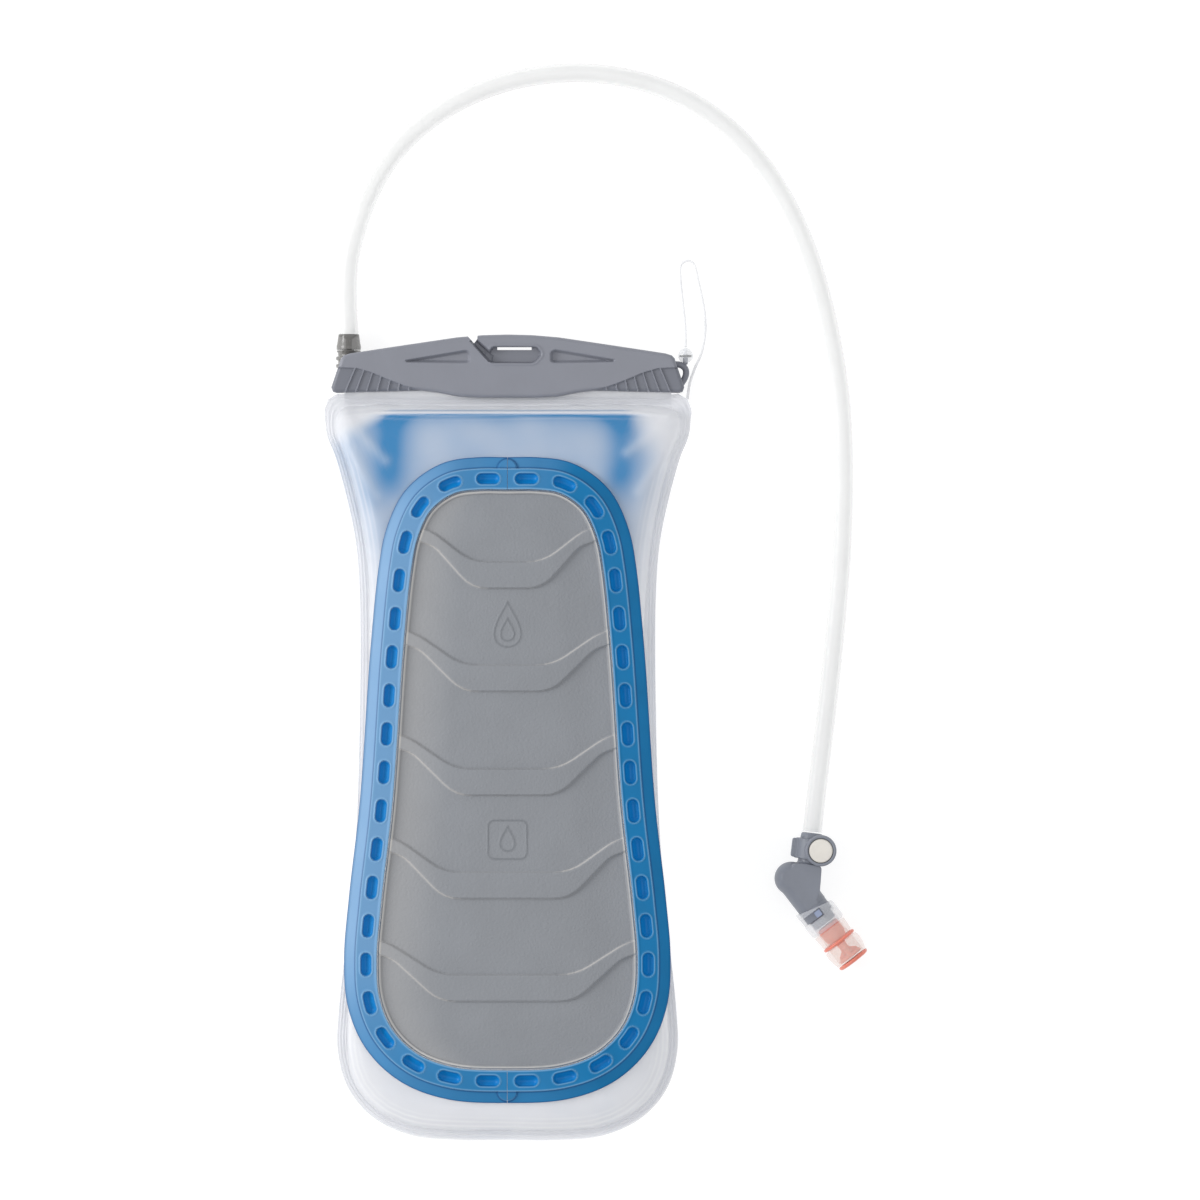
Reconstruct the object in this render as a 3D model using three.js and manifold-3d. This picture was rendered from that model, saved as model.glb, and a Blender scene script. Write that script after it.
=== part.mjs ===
// Hydration bladder: a soft two-litre film reservoir with a slide-on top closure,
// a stiff back panel held in a blue moulded frame, and a drinking hose with a bite valve.
// Units are millimetres. The bladder lies on its front face: +X runs across it,
// +Y runs from the base to the closure, and +Z points out of the back panel.
import * as THREE from "three";
import { mergeVertices } from "three/addons/utils/BufferGeometryUtils.js";
import Module from "manifold-3d";

const wasm = await Module();
wasm.setup();

// ---- Driving dimensions -------------------------------------------------------------
const FILM = 1.0; // wall of every film piece
const GAP = 0.3; // clearance left between touching pieces
const WELD_WIDTH = 4.5; // flat welded border of the films
const ROOM_AT_WELD = 3; // the back film turns down at least this far inside the weld
const WELD_Z = 21; // height of the side welds and of the closure
const PANEL_Z = 47; // height of the film under the middle of the back panel
const PANEL_SLOPE = 0.03; // the panel drops by this much per unit towards the closure
const PANEL_TILT = -Math.atan(PANEL_SLOPE);
const GUSSET_RISE = 13; // how far the back film's weld climbs at the base
const GUSSET_DROP = 9; // how far the front film's weld falls at the base
const GUSSET_START_Y = -40;
const GUSSET_FULL_Y = -150;
const FRAME_BAND = 10.3; // width of the frame's slotted band
const FRAME_WIDTH = 16.3; // band and flange together
const BAND_TOP = 4.2; // band height at its inner edge
const BAND_FALL = 2; // how much lower the band is at its outer edge
const FLANGE_FALL = 5.7; // how far the film has dropped at the frame's outer edge
const BAND_FILM_FALL = 2.2; // and at the band's outer edge
const SLOTS_PER_HALF = 20;
const SLOT_LENGTH = 11.2;
const SLOT_WIDTH = 5.4;
const PANEL_THICK = 1.8;
const EMBOSS = 1.1;
const CHEVRON_Y = [78.9, 28.7, -21.8, -72, -121.8];
const HOSE_R = 4.76; // 3/8 inch hose
const HOSE_Z = 4.9; // height of a hose that lies on the floor
const SLIDER_HALF_DEPTH = 7;
const WEB_BACK_Z = 20.5; // back face of the slider's upper web
const RAIL_HALF_LENGTH = 80;
const COUPLER_X = -78.4;
const COUPLER_Z = 6.5;
const PORT_Y = -140;
const PORT_CEILING = 17.5; // height of the film over the outlet port
const PORT_SEAL_Z = 11.6;
const VALVE_Z = 9.7; // height of the bite valve's axis
const NECK_TILT = THREE.MathUtils.degToRad(6.8);
const VALVE_TURN = THREE.MathUtils.degToRad(37.5);
const ELBOW_X = 139.2;
const ELBOW_Y = -70.1;
const ELBOW_R = 7.6;

// ---- Materials ----------------------------------------------------------------------
function plastic(colour, roughness, extra = {}) {
  return new THREE.MeshStandardMaterial({ color: colour, roughness, metalness: 0, ...extra });
}
const clearPlastic = { transparent: true, opacity: 0.45 };
const frostedFilm = plastic(0xdfe6ee, 0.45, clearPlastic);
const blueRubber = plastic(0x1f78bd, 0.5);
const greyPanel = plastic(0x8d9195, 0.55);
const greyPlastic = plastic(0x6e7480, 0.45);
const smokeGrey = plastic(0x5a5f68, 0.35);
const clearHose = plastic(0xeeeeec, 0.2, clearPlastic);
const clearMoulding = plastic(0xe9ecee, 0.15, clearPlastic);
const redSilicone = plastic(0xe8604c, 0.4);
const magnetCover = plastic(0xe4dfd8, 0.5);
const blackRubber = plastic(0x202226, 0.7);

// ---- Solid helpers ------------------------------------------------------------------
function solid(geometry) {
  const loose = geometry.index ? geometry.toNonIndexed() : geometry.clone();
  const bare = new THREE.BufferGeometry().setAttribute("position", loose.getAttribute("position"));
  const merged = mergeVertices(bare, 1e-4);
  return new wasm.Manifold(
    new wasm.Mesh({
      numProp: 3,
      vertProperties: merged.attributes.position.array,
      triVerts: new Uint32Array(merged.index.array),
    }),
  );
}

function geometryOf(manifold) {
  const mesh = manifold.getMesh();
  return new THREE.BufferGeometry()
    .setAttribute("position", new THREE.BufferAttribute(new Float32Array(mesh.vertProperties), 3))
    .setIndex(new THREE.BufferAttribute(new Uint32Array(mesh.triVerts), 1));
}

function named(name, shape, material) {
  const geometry = shape.isBufferGeometry ? shape : geometryOf(shape);
  const mesh = new THREE.Mesh(geometry, material);
  mesh.name = name;
  return mesh;
}

function box(x0, x1, y0, y1, z0, z1) {
  return new THREE.BoxGeometry(x1 - x0, y1 - y0, z1 - z0).translate(
    (x0 + x1) / 2,
    (y0 + y1) / 2,
    (z0 + z1) / 2,
  );
}

function disc(radius, z0, z1, x = 0, y = 0, sides = 24) {
  return new THREE.CylinderGeometry(radius, radius, z1 - z0, sides)
    .rotateX(Math.PI / 2)
    .translate(x, y, (z0 + z1) / 2);
}

// A lathe about +Y from [radius, height] pairs that run from the bottom up.
function lathe(profile, sides = 20) {
  return new THREE.LatheGeometry(
    profile.map(([r, h]) => new THREE.Vector2(r, h)),
    sides,
  );
}

function prism(points, z0, z1) {
  const shape = new THREE.Shape(points.map(([x, y]) => new THREE.Vector2(x, y)));
  return new THREE.ExtrudeGeometry(shape, { depth: z1 - z0, bevelEnabled: false }).translate(0, 0, z0);
}

// A closed outline from its right half, whose two ends lie on the centre line.
function mirrored(rightHalf) {
  const left = rightHalf
    .slice(1, -1)
    .reverse()
    .map(([x, y]) => [-x, y]);
  return [...rightHalf, ...left];
}

// A smooth closed outline from the points of its right half, evenly spaced, starting at
// the top of the centre line and running clockwise.
function outline(rightHalf, count) {
  const curve = new THREE.CatmullRomCurve3(
    mirrored(rightHalf).map(([x, y]) => new THREE.Vector3(x, y, 0)),
    true,
  );
  return curve.getSpacedPoints(count).slice(0, count);
}

// The outline moved outwards by a distance.
function offset(loop, distance) {
  const n = loop.length;
  return loop.map((p, i) => {
    const along = loop[(i + 1) % n].clone().sub(loop[(i + n - 1) % n]);
    return new THREE.Vector3(-along.y, along.x, 0).normalize().multiplyScalar(distance).add(p);
  });
}

function smooth(x, from, to) {
  const t = THREE.MathUtils.clamp((x - from) / (to - from), 0, 1);
  return t * t * (3 - 2 * t);
}

// A closed body through a stack of loops of equal length. The first and last are capped,
// or joined to each other when the stack is cyclic.
function loft(loops, cyclic = false) {
  const n = loops[0].length;
  const positions = loops.flat().flatMap((p) => [p.x, p.y, p.z]);
  const index = [];
  const joins = cyclic ? loops.length : loops.length - 1;
  for (let k = 0; k < joins; k++) {
    const next = (k + 1) % loops.length;
    for (let i = 0; i < n; i++) {
      const j = (i + 1) % n;
      const [a, b, c, d] = [k * n + i, k * n + j, next * n + j, next * n + i];
      index.push(a, b, c, a, c, d);
    }
  }
  if (!cyclic) {
    const flat = capFrame(loops[0]);
    const start = THREE.ShapeUtils.triangulateShape(flat, []);
    const last = (loops.length - 1) * n;
    const end = THREE.ShapeUtils.triangulateShape(capFrame(loops[loops.length - 1]), []);
    start.forEach(([a, b, c]) => index.push(c, b, a));
    end.forEach(([a, b, c]) => index.push(last + a, last + b, last + c));
  }
  const geometry = new THREE.BufferGeometry()
    .setAttribute("position", new THREE.Float32BufferAttribute(positions, 3))
    .setIndex(index);
  return facingOut(geometry);
}

// A loop's points in its own plane, turned counter-clockwise about its normal.
function capFrame(loop) {
  const centre = loop.reduce((sum, p) => sum.add(p), new THREE.Vector3()).divideScalar(loop.length);
  const normal = new THREE.Vector3();
  loop.forEach((p, i) => {
    const a = p.clone().sub(centre);
    const b = loop[(i + 1) % loop.length].clone().sub(centre);
    normal.add(a.cross(b));
  });
  normal.normalize();
  const side = loop[0].clone().sub(centre).normalize();
  const up = normal.clone().cross(side);
  return loop.map((p) => {
    const q = p.clone().sub(centre);
    return new THREE.Vector2(q.dot(side), q.dot(up));
  });
}

function facingOut(geometry) {
  const p = geometry.getAttribute("position");
  const index = geometry.index.array;
  const [a, b, c] = [new THREE.Vector3(), new THREE.Vector3(), new THREE.Vector3()];
  let volume = 0;
  for (let i = 0; i < index.length; i += 3) {
    a.fromBufferAttribute(p, index[i]);
    b.fromBufferAttribute(p, index[i + 1]);
    c.fromBufferAttribute(p, index[i + 2]);
    volume += a.dot(b.cross(c));
  }
  if (volume < 0) {
    for (let i = 0; i < index.length; i += 3) {
      [index[i + 1], index[i + 2]] = [index[i + 2], index[i + 1]];
    }
  }
  return geometry;
}

// A section of [side, up] points carried along a path that lies flat, with +Z as up.
function sweepFlat(path, section) {
  const loops = path.map((p, i) => {
    const along = path[Math.min(i + 1, path.length - 1)].clone().sub(path[Math.max(i - 1, 0)]);
    const side = new THREE.Vector3(-along.y, along.x, 0).normalize();
    return section.map(
      ([s, u]) => new THREE.Vector3(p.x + side.x * s, p.y + side.y * s, p.z + u),
    );
  });
  return loft(loops);
}

function hose(points, radius, steps) {
  const curve = new THREE.CatmullRomCurve3(points.map(([x, y, z]) => new THREE.Vector3(x, y, z)));
  const section = new THREE.Shape().absarc(0, 0, radius, 0, Math.PI * 2);
  const quarters = radius < 2 ? 3 : 4; // half as many segments as the section has sides
  const options = { extrudePath: curve, steps, curveSegments: quarters, bevelEnabled: false };
  return new THREE.ExtrudeGeometry(section, options);
}

// ---- Outlines, as the points of their right halves ----------------------------------
const BAG_POINTS = 54;
const PANEL_POINTS = 72;

// The inner edge of the weld: wide ears under the closure, a waist, and a rounded base.
const weldOutline = outline(
  [
    [0, 162],
    [40, 162],
    [72, 162],
    [82, 159],
    [84.2, 151],
    [80, 138],
    [74.5, 118],
    [70, 96],
    [68, 70],
    [68, 10],
    [70, -50],
    [74.5, -100],
    [78, -135],
    [78.5, -152],
    [74, -169],
    [63, -182],
    [46, -190],
    [24, -192.2],
    [0, -192.2],
  ],
  BAG_POINTS,
);

const panelOutline = outline(
  [
    [0, 120.4],
    [14, 120.4],
    [26, 118.5],
    [37, 110.5],
    [43.5, 97],
    [46.5, 82],
    [50.5, 42],
    [55.6, -32],
    [61, -80],
    [63.2, -108],
    [61.8, -127],
    [55.5, -142],
    [43.5, -153.5],
    [26, -160],
    [0, -161.5],
  ],
  PANEL_POINTS,
);

// ---- Films --------------------------------------------------------------------------
function backWeldZ(y) {
  return WELD_Z + GUSSET_RISE * smooth(y, GUSSET_START_Y, GUSSET_FULL_Y);
}

function frontWeldZ(y) {
  return WELD_Z - GUSSET_DROP * smooth(y, GUSSET_START_Y, GUSSET_FULL_Y);
}

function panelPlaneZ(y) {
  return PANEL_Z - PANEL_SLOPE * y;
}

// How far the film has fallen below the panel's plane, at a distance out from the panel.
function filmFall(distance) {
  const overBand = BAND_FILM_FALL * Math.min(distance / FRAME_BAND, 1);
  const overFlange = (FLANGE_FALL - BAND_FILM_FALL) / (FRAME_WIDTH - FRAME_BAND);
  return overBand + overFlange * Math.max(distance - FRAME_BAND, 0);
}

// The film's contour at a distance out from the panel, with points that pair with the
// weld outline's. Where the weld is nearer than that, it stops short of the weld.
function contourUnderPanel(distance) {
  const edge = new THREE.CatmullRomCurve3(panelOutline, true)
    .getSpacedPoints(BAG_POINTS)
    .slice(0, BAG_POINTS);
  return edge.map((p, i) => {
    const room = p.distanceTo(weldOutline[i]) - ROOM_AT_WELD;
    const reach = Math.min(distance, room);
    const q = weldOutline[i].clone().sub(p).normalize().multiplyScalar(reach).add(p);
    return new THREE.Vector3(q.x, q.y, panelPlaneZ(q.y) - filmFall(reach));
  });
}

// One face of a domed film: rings from the flat middle out to the weld's outer edge.
// The share rises from 0 at the middle to 1 at the weld, and bulge bends it.
function domeRings(middle, weld, steps, weldZ, side, inset) {
  const beyond = offset(weld, 1);
  const rings = [];
  for (let k = 0; k <= steps; k++) {
    const share = k / steps;
    const drop = 1 - Math.cos((share * Math.PI) / 2);
    rings.push(
      middle.map((m, i) => {
        const w = weld[i];
        const wz = weldZ(w.y) + side * (GAP / 2 + (inset ? 0 : FILM));
        const mz = m.z - (inset ? side * FILM : 0);
        const pull = inset ? FILM * share : 0;
        const outwards = beyond[i].clone().sub(w);
        return new THREE.Vector3(
          THREE.MathUtils.lerp(m.x, w.x, Math.sin((share * Math.PI) / 2)) - outwards.x * pull,
          THREE.MathUtils.lerp(m.y, w.y, Math.sin((share * Math.PI) / 2)) - outwards.y * pull,
          THREE.MathUtils.lerp(mz, wz, drop),
        );
      }),
    );
  }
  return rings;
}

function film(middles, steps, weldZ, side) {
  const border = offset(weldOutline, WELD_WIDTH);
  const flat = (loop, depth) =>
    loop.map((p, i) => new THREE.Vector3(p.x, p.y, weldZ(weldOutline[i].y) + side * (GAP / 2 + depth)));
  const last = middles[middles.length - 1];
  const outer = domeRings(last, weldOutline, steps, weldZ, side, false);
  const inner = domeRings(last, weldOutline, steps, weldZ, side, true);
  const innerMiddles = middles
    .slice(0, -1)
    .map((loop) => loop.map((p) => new THREE.Vector3(p.x, p.y, p.z - side * FILM)));
  const rings = [
    ...middles.slice(0, -1),
    ...outer,
    flat(border, FILM),
    flat(border, 0),
    ...inner.reverse(),
    ...innerMiddles.reverse(),
  ];
  return solid(loft(rings));
}

// The flat strip of film that runs up into the closure.
function closureLip(side) {
  const near = WELD_Z + side * (GAP / 2);
  const far = WELD_Z + side * (GAP / 2 + FILM);
  return solid(box(-RAIL_HALF_LENGTH, RAIL_HALF_LENGTH, 163, 179, Math.min(near, far), Math.max(near, far)));
}

function backFilm() {
  const middles = [
    contourUnderPanel(0),
    contourUnderPanel(FRAME_BAND - 1),
    contourUnderPanel(FRAME_WIDTH + 0.4),
  ];
  return film(middles, 4, backWeldZ, 1).add(closureLip(1));
}

function frontFilm() {
  const flatMiddle = weldOutline.map(
    (p) => new THREE.Vector3(p.x * 0.64, -20 + (p.y + 20) * 0.8, 0),
  );
  const shell = film([flatMiddle], 4, frontWeldZ, -1).add(closureLip(-1));
  const tunnelOuter = solid(sweepFlat(lowerHosePath(0), arch(6.6, WELD_Z - 1.2)));
  const tunnelInner = solid(sweepFlat(lowerHosePath(6), arch(5.4, -2)));
  const recessOuter = solid(disc(24.2, 0, PORT_CEILING + FILM, 0, PORT_Y));
  const recessInner = solid(disc(23, -2, PORT_CEILING, 0, PORT_Y));
  const ridge = tunnelOuter.add(recessOuter).subtract(belowFrontFilm());
  return shell.add(ridge).subtract(tunnelInner).subtract(recessInner);
}

// An arched section over the hose: round on top, with straight sides down to a floor.
function arch(radius, floor) {
  const base = floor < 0 ? floor : 0;
  const points = [];
  for (let k = 0; k <= 8; k++) {
    const a = (Math.PI * k) / 8;
    points.push([radius * Math.cos(a), HOSE_Z + radius * Math.sin(a)]);
  }
  return [...points, [-radius, base], [radius, base]];
}

// Everything outside the bladder under the front film, used to trim the ridge.
function belowFrontFilm() {
  const flatMiddle = weldOutline.map(
    (p) => new THREE.Vector3(p.x * 0.64, -20 + (p.y + 20) * 0.8, 0),
  );
  const rings = domeRings(flatMiddle, weldOutline, 4, frontWeldZ, -1, false);
  const far = offset(weldOutline, 60).map((p) => new THREE.Vector3(p.x, p.y, WELD_Z));
  const farLow = far.map((p) => new THREE.Vector3(p.x, p.y, -30));
  return solid(loft([...rings, far, farLow]));
}

// The welded strip that gives the base its depth.
function bottomGusset() {
  const n = weldOutline.length;
  const border = offset(weldOutline, 1);
  const loops = [];
  for (let i = 0; i < n; i++) {
    const p = weldOutline[i];
    const zTop = backWeldZ(p.y) - GAP / 2;
    const zLow = frontWeldZ(p.y) + GAP / 2;
    const room = zTop - zLow;
    if (room < 3.6) continue;
    const outward = border[i].clone().sub(p);
    const bulge = Math.min(2.4, room * 0.12);
    const section = [
      [GAP, zTop],
      [WELD_WIDTH, zTop],
      [WELD_WIDTH, zTop - FILM],
      [GAP + FILM, zTop - FILM - 0.2],
      [GAP + FILM + bulge, (zTop + zLow) / 2],
      [GAP + FILM, zLow + FILM + 0.2],
      [WELD_WIDTH, zLow + FILM],
      [WELD_WIDTH, zLow],
      [GAP, zLow],
      [GAP + bulge, (zTop + zLow) / 2],
    ];
    loops.push(section.map(([d, z]) => new THREE.Vector3(p.x + outward.x * d, p.y + outward.y * d, z)));
  }
  return loft(loops);
}

// ---- Back panel and its frame -------------------------------------------------------
function halfWidthAt(y) {
  const right = panelOutline.filter((p) => p.x > 0);
  return right.reduce((best, p) => (Math.abs(p.y - y) < Math.abs(best.y - y) ? p : best)).x;
}

// A raised chevron rib: flat in the middle, climbing to both edges.
function chevron(y) {
  const edge = halfWidthAt(y + 20);
  const flat = halfWidthAt(y) - 29.5;
  const knee = edge - 6;
  const upper = [
    [flat, 6.8],
    [knee, 21.3],
    [edge, 24],
  ];
  const lower = [
    [edge, 15.8],
    [knee, 14],
    [flat, -6.8],
  ];
  const right = [...upper, ...lower];
  const left = right.map(([x, dy]) => [-x, dy]).reverse();
  const points = [...right, ...left].map(([x, dy]) => [x, y + dy]);
  return solid(prism(points, PANEL_THICK - 0.2, PANEL_THICK + EMBOSS));
}

function backPanel() {
  const flat = (distance, z) => offset(panelOutline, distance).map((p) => new THREE.Vector3(p.x, p.y, z));
  const rim = loft([
    flat(-GAP, GAP),
    flat(-GAP, PANEL_THICK + 0.8),
    flat(-GAP - 1.3, PANEL_THICK + 0.8),
    flat(-GAP - 1.6, PANEL_THICK),
  ]);
  const inside = solid(loft([flat(-GAP - 1.8, 0), flat(-GAP - 1.8, 10)]));
  return CHEVRON_Y.reduce((panel, y) => panel.add(chevron(y).intersect(inside)), solid(rim));
}

// A pocket cutter with rounded ends, longer along the frame than across it.
function slotCutter(point, along) {
  const straight = (SLOT_LENGTH - SLOT_WIDTH) / 2;
  const shape = new THREE.Shape()
    .absarc(straight, 0, SLOT_WIDTH / 2, -Math.PI / 2, Math.PI / 2)
    .absarc(-straight, 0, SLOT_WIDTH / 2, Math.PI / 2, (Math.PI * 3) / 2);
  const cutter = new THREE.ExtrudeGeometry(shape, { depth: 8, bevelEnabled: false, curveSegments: 2 });
  return solid(cutter.rotateZ(Math.atan2(along.y, along.x)).translate(point.x, point.y, 0.6));
}

function frameHalf(side) {
  const half = PANEL_POINTS / 2;
  const section = [
    [GAP, GAP],
    [GAP, BAND_TOP],
    [FRAME_BAND, BAND_TOP - BAND_FALL],
    [FRAME_BAND + 0.3, 0.4 - BAND_FILM_FALL + 1.4],
    [FRAME_WIDTH, 1.6 - FLANGE_FALL],
    [FRAME_WIDTH, 0.95 - FLANGE_FALL],
    [FRAME_BAND, 0.75 - BAND_FILM_FALL],
  ];
  const contours = section.map(([d]) => offset(panelOutline, d));
  const loops = [];
  for (let i = 0; i <= half; i++) {
    loops.push(
      section.map(([, z], k) => {
        const p = contours[k][i];
        const x = Math.max(p.x, GAP / 2);
        return new THREE.Vector3(side * x, p.y, z);
      }),
    );
  }
  const band = new THREE.CatmullRomCurve3(
    offset(panelOutline, FRAME_BAND / 2 + 0.2)
      .slice(0, half + 1)
      .map((p) => new THREE.Vector3(side * p.x, p.y, 0)),
  );
  let shape = solid(loft(loops));
  for (let k = 0; k < SLOTS_PER_HALF; k++) {
    const at = (k + 0.5) / SLOTS_PER_HALF;
    shape = shape.subtract(slotCutter(band.getPointAt(at), band.getTangentAt(at)));
  }
  return shape;
}

// ---- Closure ------------------------------------------------------------------------
const sliderRight = [
  [0, 196.8],
  [25, 195.4],
  [50, 191.7],
  [77, 187.6],
  [80.8, 186.2],
  [82.3, 183],
  [86.4, 171],
  [86, 169.2],
  [84, 168.4],
  [42, 169.4],
  [34, 168.4],
  [24, 166.4],
  [14, 165.9],
  [0, 165.9],
];

// A slanted mouth in the top edge that leads down into the hanging recess.
const hangMouth = [
  [-21.5, 198],
  [-15, 198],
  [-14, 194],
  [-4, 191],
  [-4, 189],
  [-14, 190],
  [-18.5, 192.5],
];

function slider() {
  const [z0, z1] = [WELD_Z - SLIDER_HALF_DEPTH, WELD_Z + SLIDER_HALF_DEPTH];
  const body = solid(prism(mirrored(sliderRight), z0, z1));
  const end = RAIL_HALF_LENGTH + 1;
  const cavity = solid(box(-100, end, 172, 180.4, WELD_Z - 4.2, WELD_Z + 4.2));
  const throat = solid(box(-100, end + 3, 160, 173, WELD_Z - 1.9, WELD_Z + 1.9));
  const backStep = solid(box(-100, 100, 184, 200, z0 - 1, WEB_BACK_Z));
  const recess = solid(box(-10.3, 14.7, 182.9, 191, z1 - 5, z1 + 1));
  const slit = solid(box(-5, 11.5, 189.3, 190.7, z0, z1));
  const mouth = solid(prism(hangMouth, z0 - 1, z1 + 1));
  const pocket = (tip, wall) =>
    solid(prism([[tip, 183.6], [wall, 183.2], [wall, 189.6], [tip, 185.4]], z1 - 3, z1 + 1));
  const hook = solid(
    prism(
      [
        [84.2, 178.4],
        [85.4, 173],
        [87.6, 173.4],
        [88.2, 178],
        [88, 181.8],
        [86, 182],
      ],
      WELD_Z - 1.6,
      WELD_Z + 1.6,
    ),
  );
  const post = solid(new THREE.CylinderGeometry(1.2, 1.2, 4.4, 12).translate(86.9, 183.6, WELD_Z));
  return body
    .subtract(cavity)
    .subtract(throat)
    .subtract(backStep)
    .subtract(recess)
    .subtract(slit)
    .subtract(mouth)
    .subtract(pocket(-50, -20.5))
    .subtract(pocket(51, 20))
    .add(hook)
    .add(post);
}

function mouthRail(side) {
  const near = WELD_Z + side * (GAP * 1.5 + FILM);
  const far = near + side * 2.1;
  return box(-RAIL_HALF_LENGTH, RAIL_HALF_LENGTH, 173, 179, Math.min(near, far), Math.max(near, far));
}

// ---- Slider tether ------------------------------------------------------------------
const TETHER_R = 0.7;
const tetherRoute = [
  [87, 190.9, 21],
  [87, 193.6, 20],
  [87, 198, 14.5],
  [86.8, 203, 8],
  [86.4, 208, 3.4],
  [85.8, 213, 1.2],
  [85.2, 219, 0.75],
  [84.7, 225, 0.75],
  [84.5, 229.6, 0.75],
  [85.4, 232.6, 0.75],
  [88.2, 234, 0.75],
  [91, 232.6, 0.75],
  [92.2, 229.6, 0.75],
  [93.3, 224.6, 0.75],
  [95, 217, 0.75],
  [96.6, 208, 0.8],
  [96.9, 199, 2.3],
  [95, 188.5, 7.2],
  [91.6, 180.5, 11.2],
  [89.2, 173.5, 12.6],
  [88, 165.4, 12.6],
];

function tetherBead() {
  const ball = solid(new THREE.SphereGeometry(3.7, 16, 10).translate(87, 186.6, WELD_Z));
  const hole = solid(new THREE.CylinderGeometry(1.6, 1.6, 6, 16).translate(87, 183.2, WELD_Z));
  return ball.subtract(hole);
}

// A moulded tab that welds the tether to the front film's ear.
function tetherAnchor() {
  const tab = solid(disc(3.6, 15.2, 18.8, 86.4, 158.6, 20));
  const stem = solid(new THREE.CylinderGeometry(1.5, 1.9, 7, 14).rotateX(-0.42).translate(87.2, 161.2, 14.6));
  return tab.add(stem);
}

// ---- Outlet port and lower hose -----------------------------------------------------
const lowerRoute = [
  [0, -119.2, HOSE_Z],
  [0, -100, HOSE_Z],
  [0, -60, HOSE_Z],
  [-1, -20, HOSE_Z],
  [-6, 15, HOSE_Z],
  [-18, 48, HOSE_Z],
  [-37, 78, HOSE_Z],
  [-57, 104, HOSE_Z],
  [-71, 128, HOSE_Z],
  [-77.2, 150, HOSE_Z + 0.2],
  [COUPLER_X, 166, COUPLER_Z],
  [COUPLER_X, 175.7, COUPLER_Z],
];

// The lower hose's line at a constant height, with its ends run on by some length.
function lowerHosePath(extra) {
  const curve = new THREE.CatmullRomCurve3(
    lowerRoute.map(([x, y]) => new THREE.Vector3(x, y, 0)),
  );
  const points = curve.getSpacedPoints(26);
  const first = points[0].clone().add(new THREE.Vector3(0, -4 - extra, 0));
  const last = points[26].clone().add(new THREE.Vector3(0, extra, 0));
  return [first, ...points, ...(extra > 0 ? [last] : [])];
}

function portFlange() {
  const z = PORT_CEILING - GAP;
  const plate = solid(disc(20, z - 1.6, z, 0, PORT_Y));
  const collar = solid(disc(13, 9.9, z - 1, 0, PORT_Y));
  const socket = solid(disc(9.6, 5, z - 3, 0, PORT_Y));
  const drain = solid(disc(4, 5, z + 1, 0, PORT_Y, 20));
  return plate.add(collar).subtract(socket).subtract(drain);
}

function portElbow() {
  const plug = solid(disc(8.6, 6.3, 13.4, 0, PORT_Y));
  const cap = solid(disc(12.4, 0.4, 5.9, 0, PORT_Y));
  const neck = solid(disc(8.6, 5.5, 7, 0, PORT_Y));
  const barb = solid(new THREE.CylinderGeometry(4.7, 4.7, 11, 20).translate(0, PORT_Y + 15, HOSE_Z));
  const groove = solid(ring(9.6, 7.3, 1.9).rotateX(Math.PI / 2).translate(0, PORT_Y, PORT_SEAL_Z));
  return plug.add(cap).add(neck).add(barb).subtract(groove);
}

// A square-sectioned ring about +Y.
function ring(outer, inner, height) {
  return lathe([
    [inner, -height / 2],
    [outer, -height / 2],
    [outer, height / 2],
    [inner, height / 2],
    [inner, -height / 2],
  ]);
}

function portSeal() {
  return new THREE.TorusGeometry(8.45, 0.75, 6, 24).translate(0, PORT_Y, PORT_SEAL_Z);
}

// ---- Hose coupler -------------------------------------------------------------------
function alongCoupler(geometry) {
  return geometry.translate(COUPLER_X, 0, COUPLER_Z);
}

// The ribbed clear socket that stays on the bladder.
function couplerSocket() {
  const ribs = [];
  for (let k = 0; k < 3; k++) {
    const y = 177.6 + 3.7 * k;
    ribs.push([5, y], [5.7, y + 0.7], [5.7, y + 1.6], [5, y + 2.4]);
  }
  return alongCoupler(
    lathe([[0, 176], [5, 176], ...ribs, [5.9, 188], [5.9, 189.6], [3.35, 189.6], [3.35, 178.4], [0, 178.4]]),
  );
}

// The smoked plug on the drinking hose: a tapered collar and a sealed stem.
function couplerPlug() {
  return alongCoupler(
    lathe([
      [0, 178.8],
      [2.4, 178.8],
      [2.4, 182],
      [1.9, 182],
      [1.9, 184],
      [2.4, 184],
      [2.4, 189.9],
      [5.9, 189.9],
      [5.6, 192.4],
      [4.9, 196.1],
      [0, 196.1],
    ]),
  );
}

function couplerSeal() {
  return new THREE.TorusGeometry(2.6, 0.45, 8, 20)
    .rotateX(Math.PI / 2)
    .translate(COUPLER_X, 183, COUPLER_Z);
}

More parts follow.
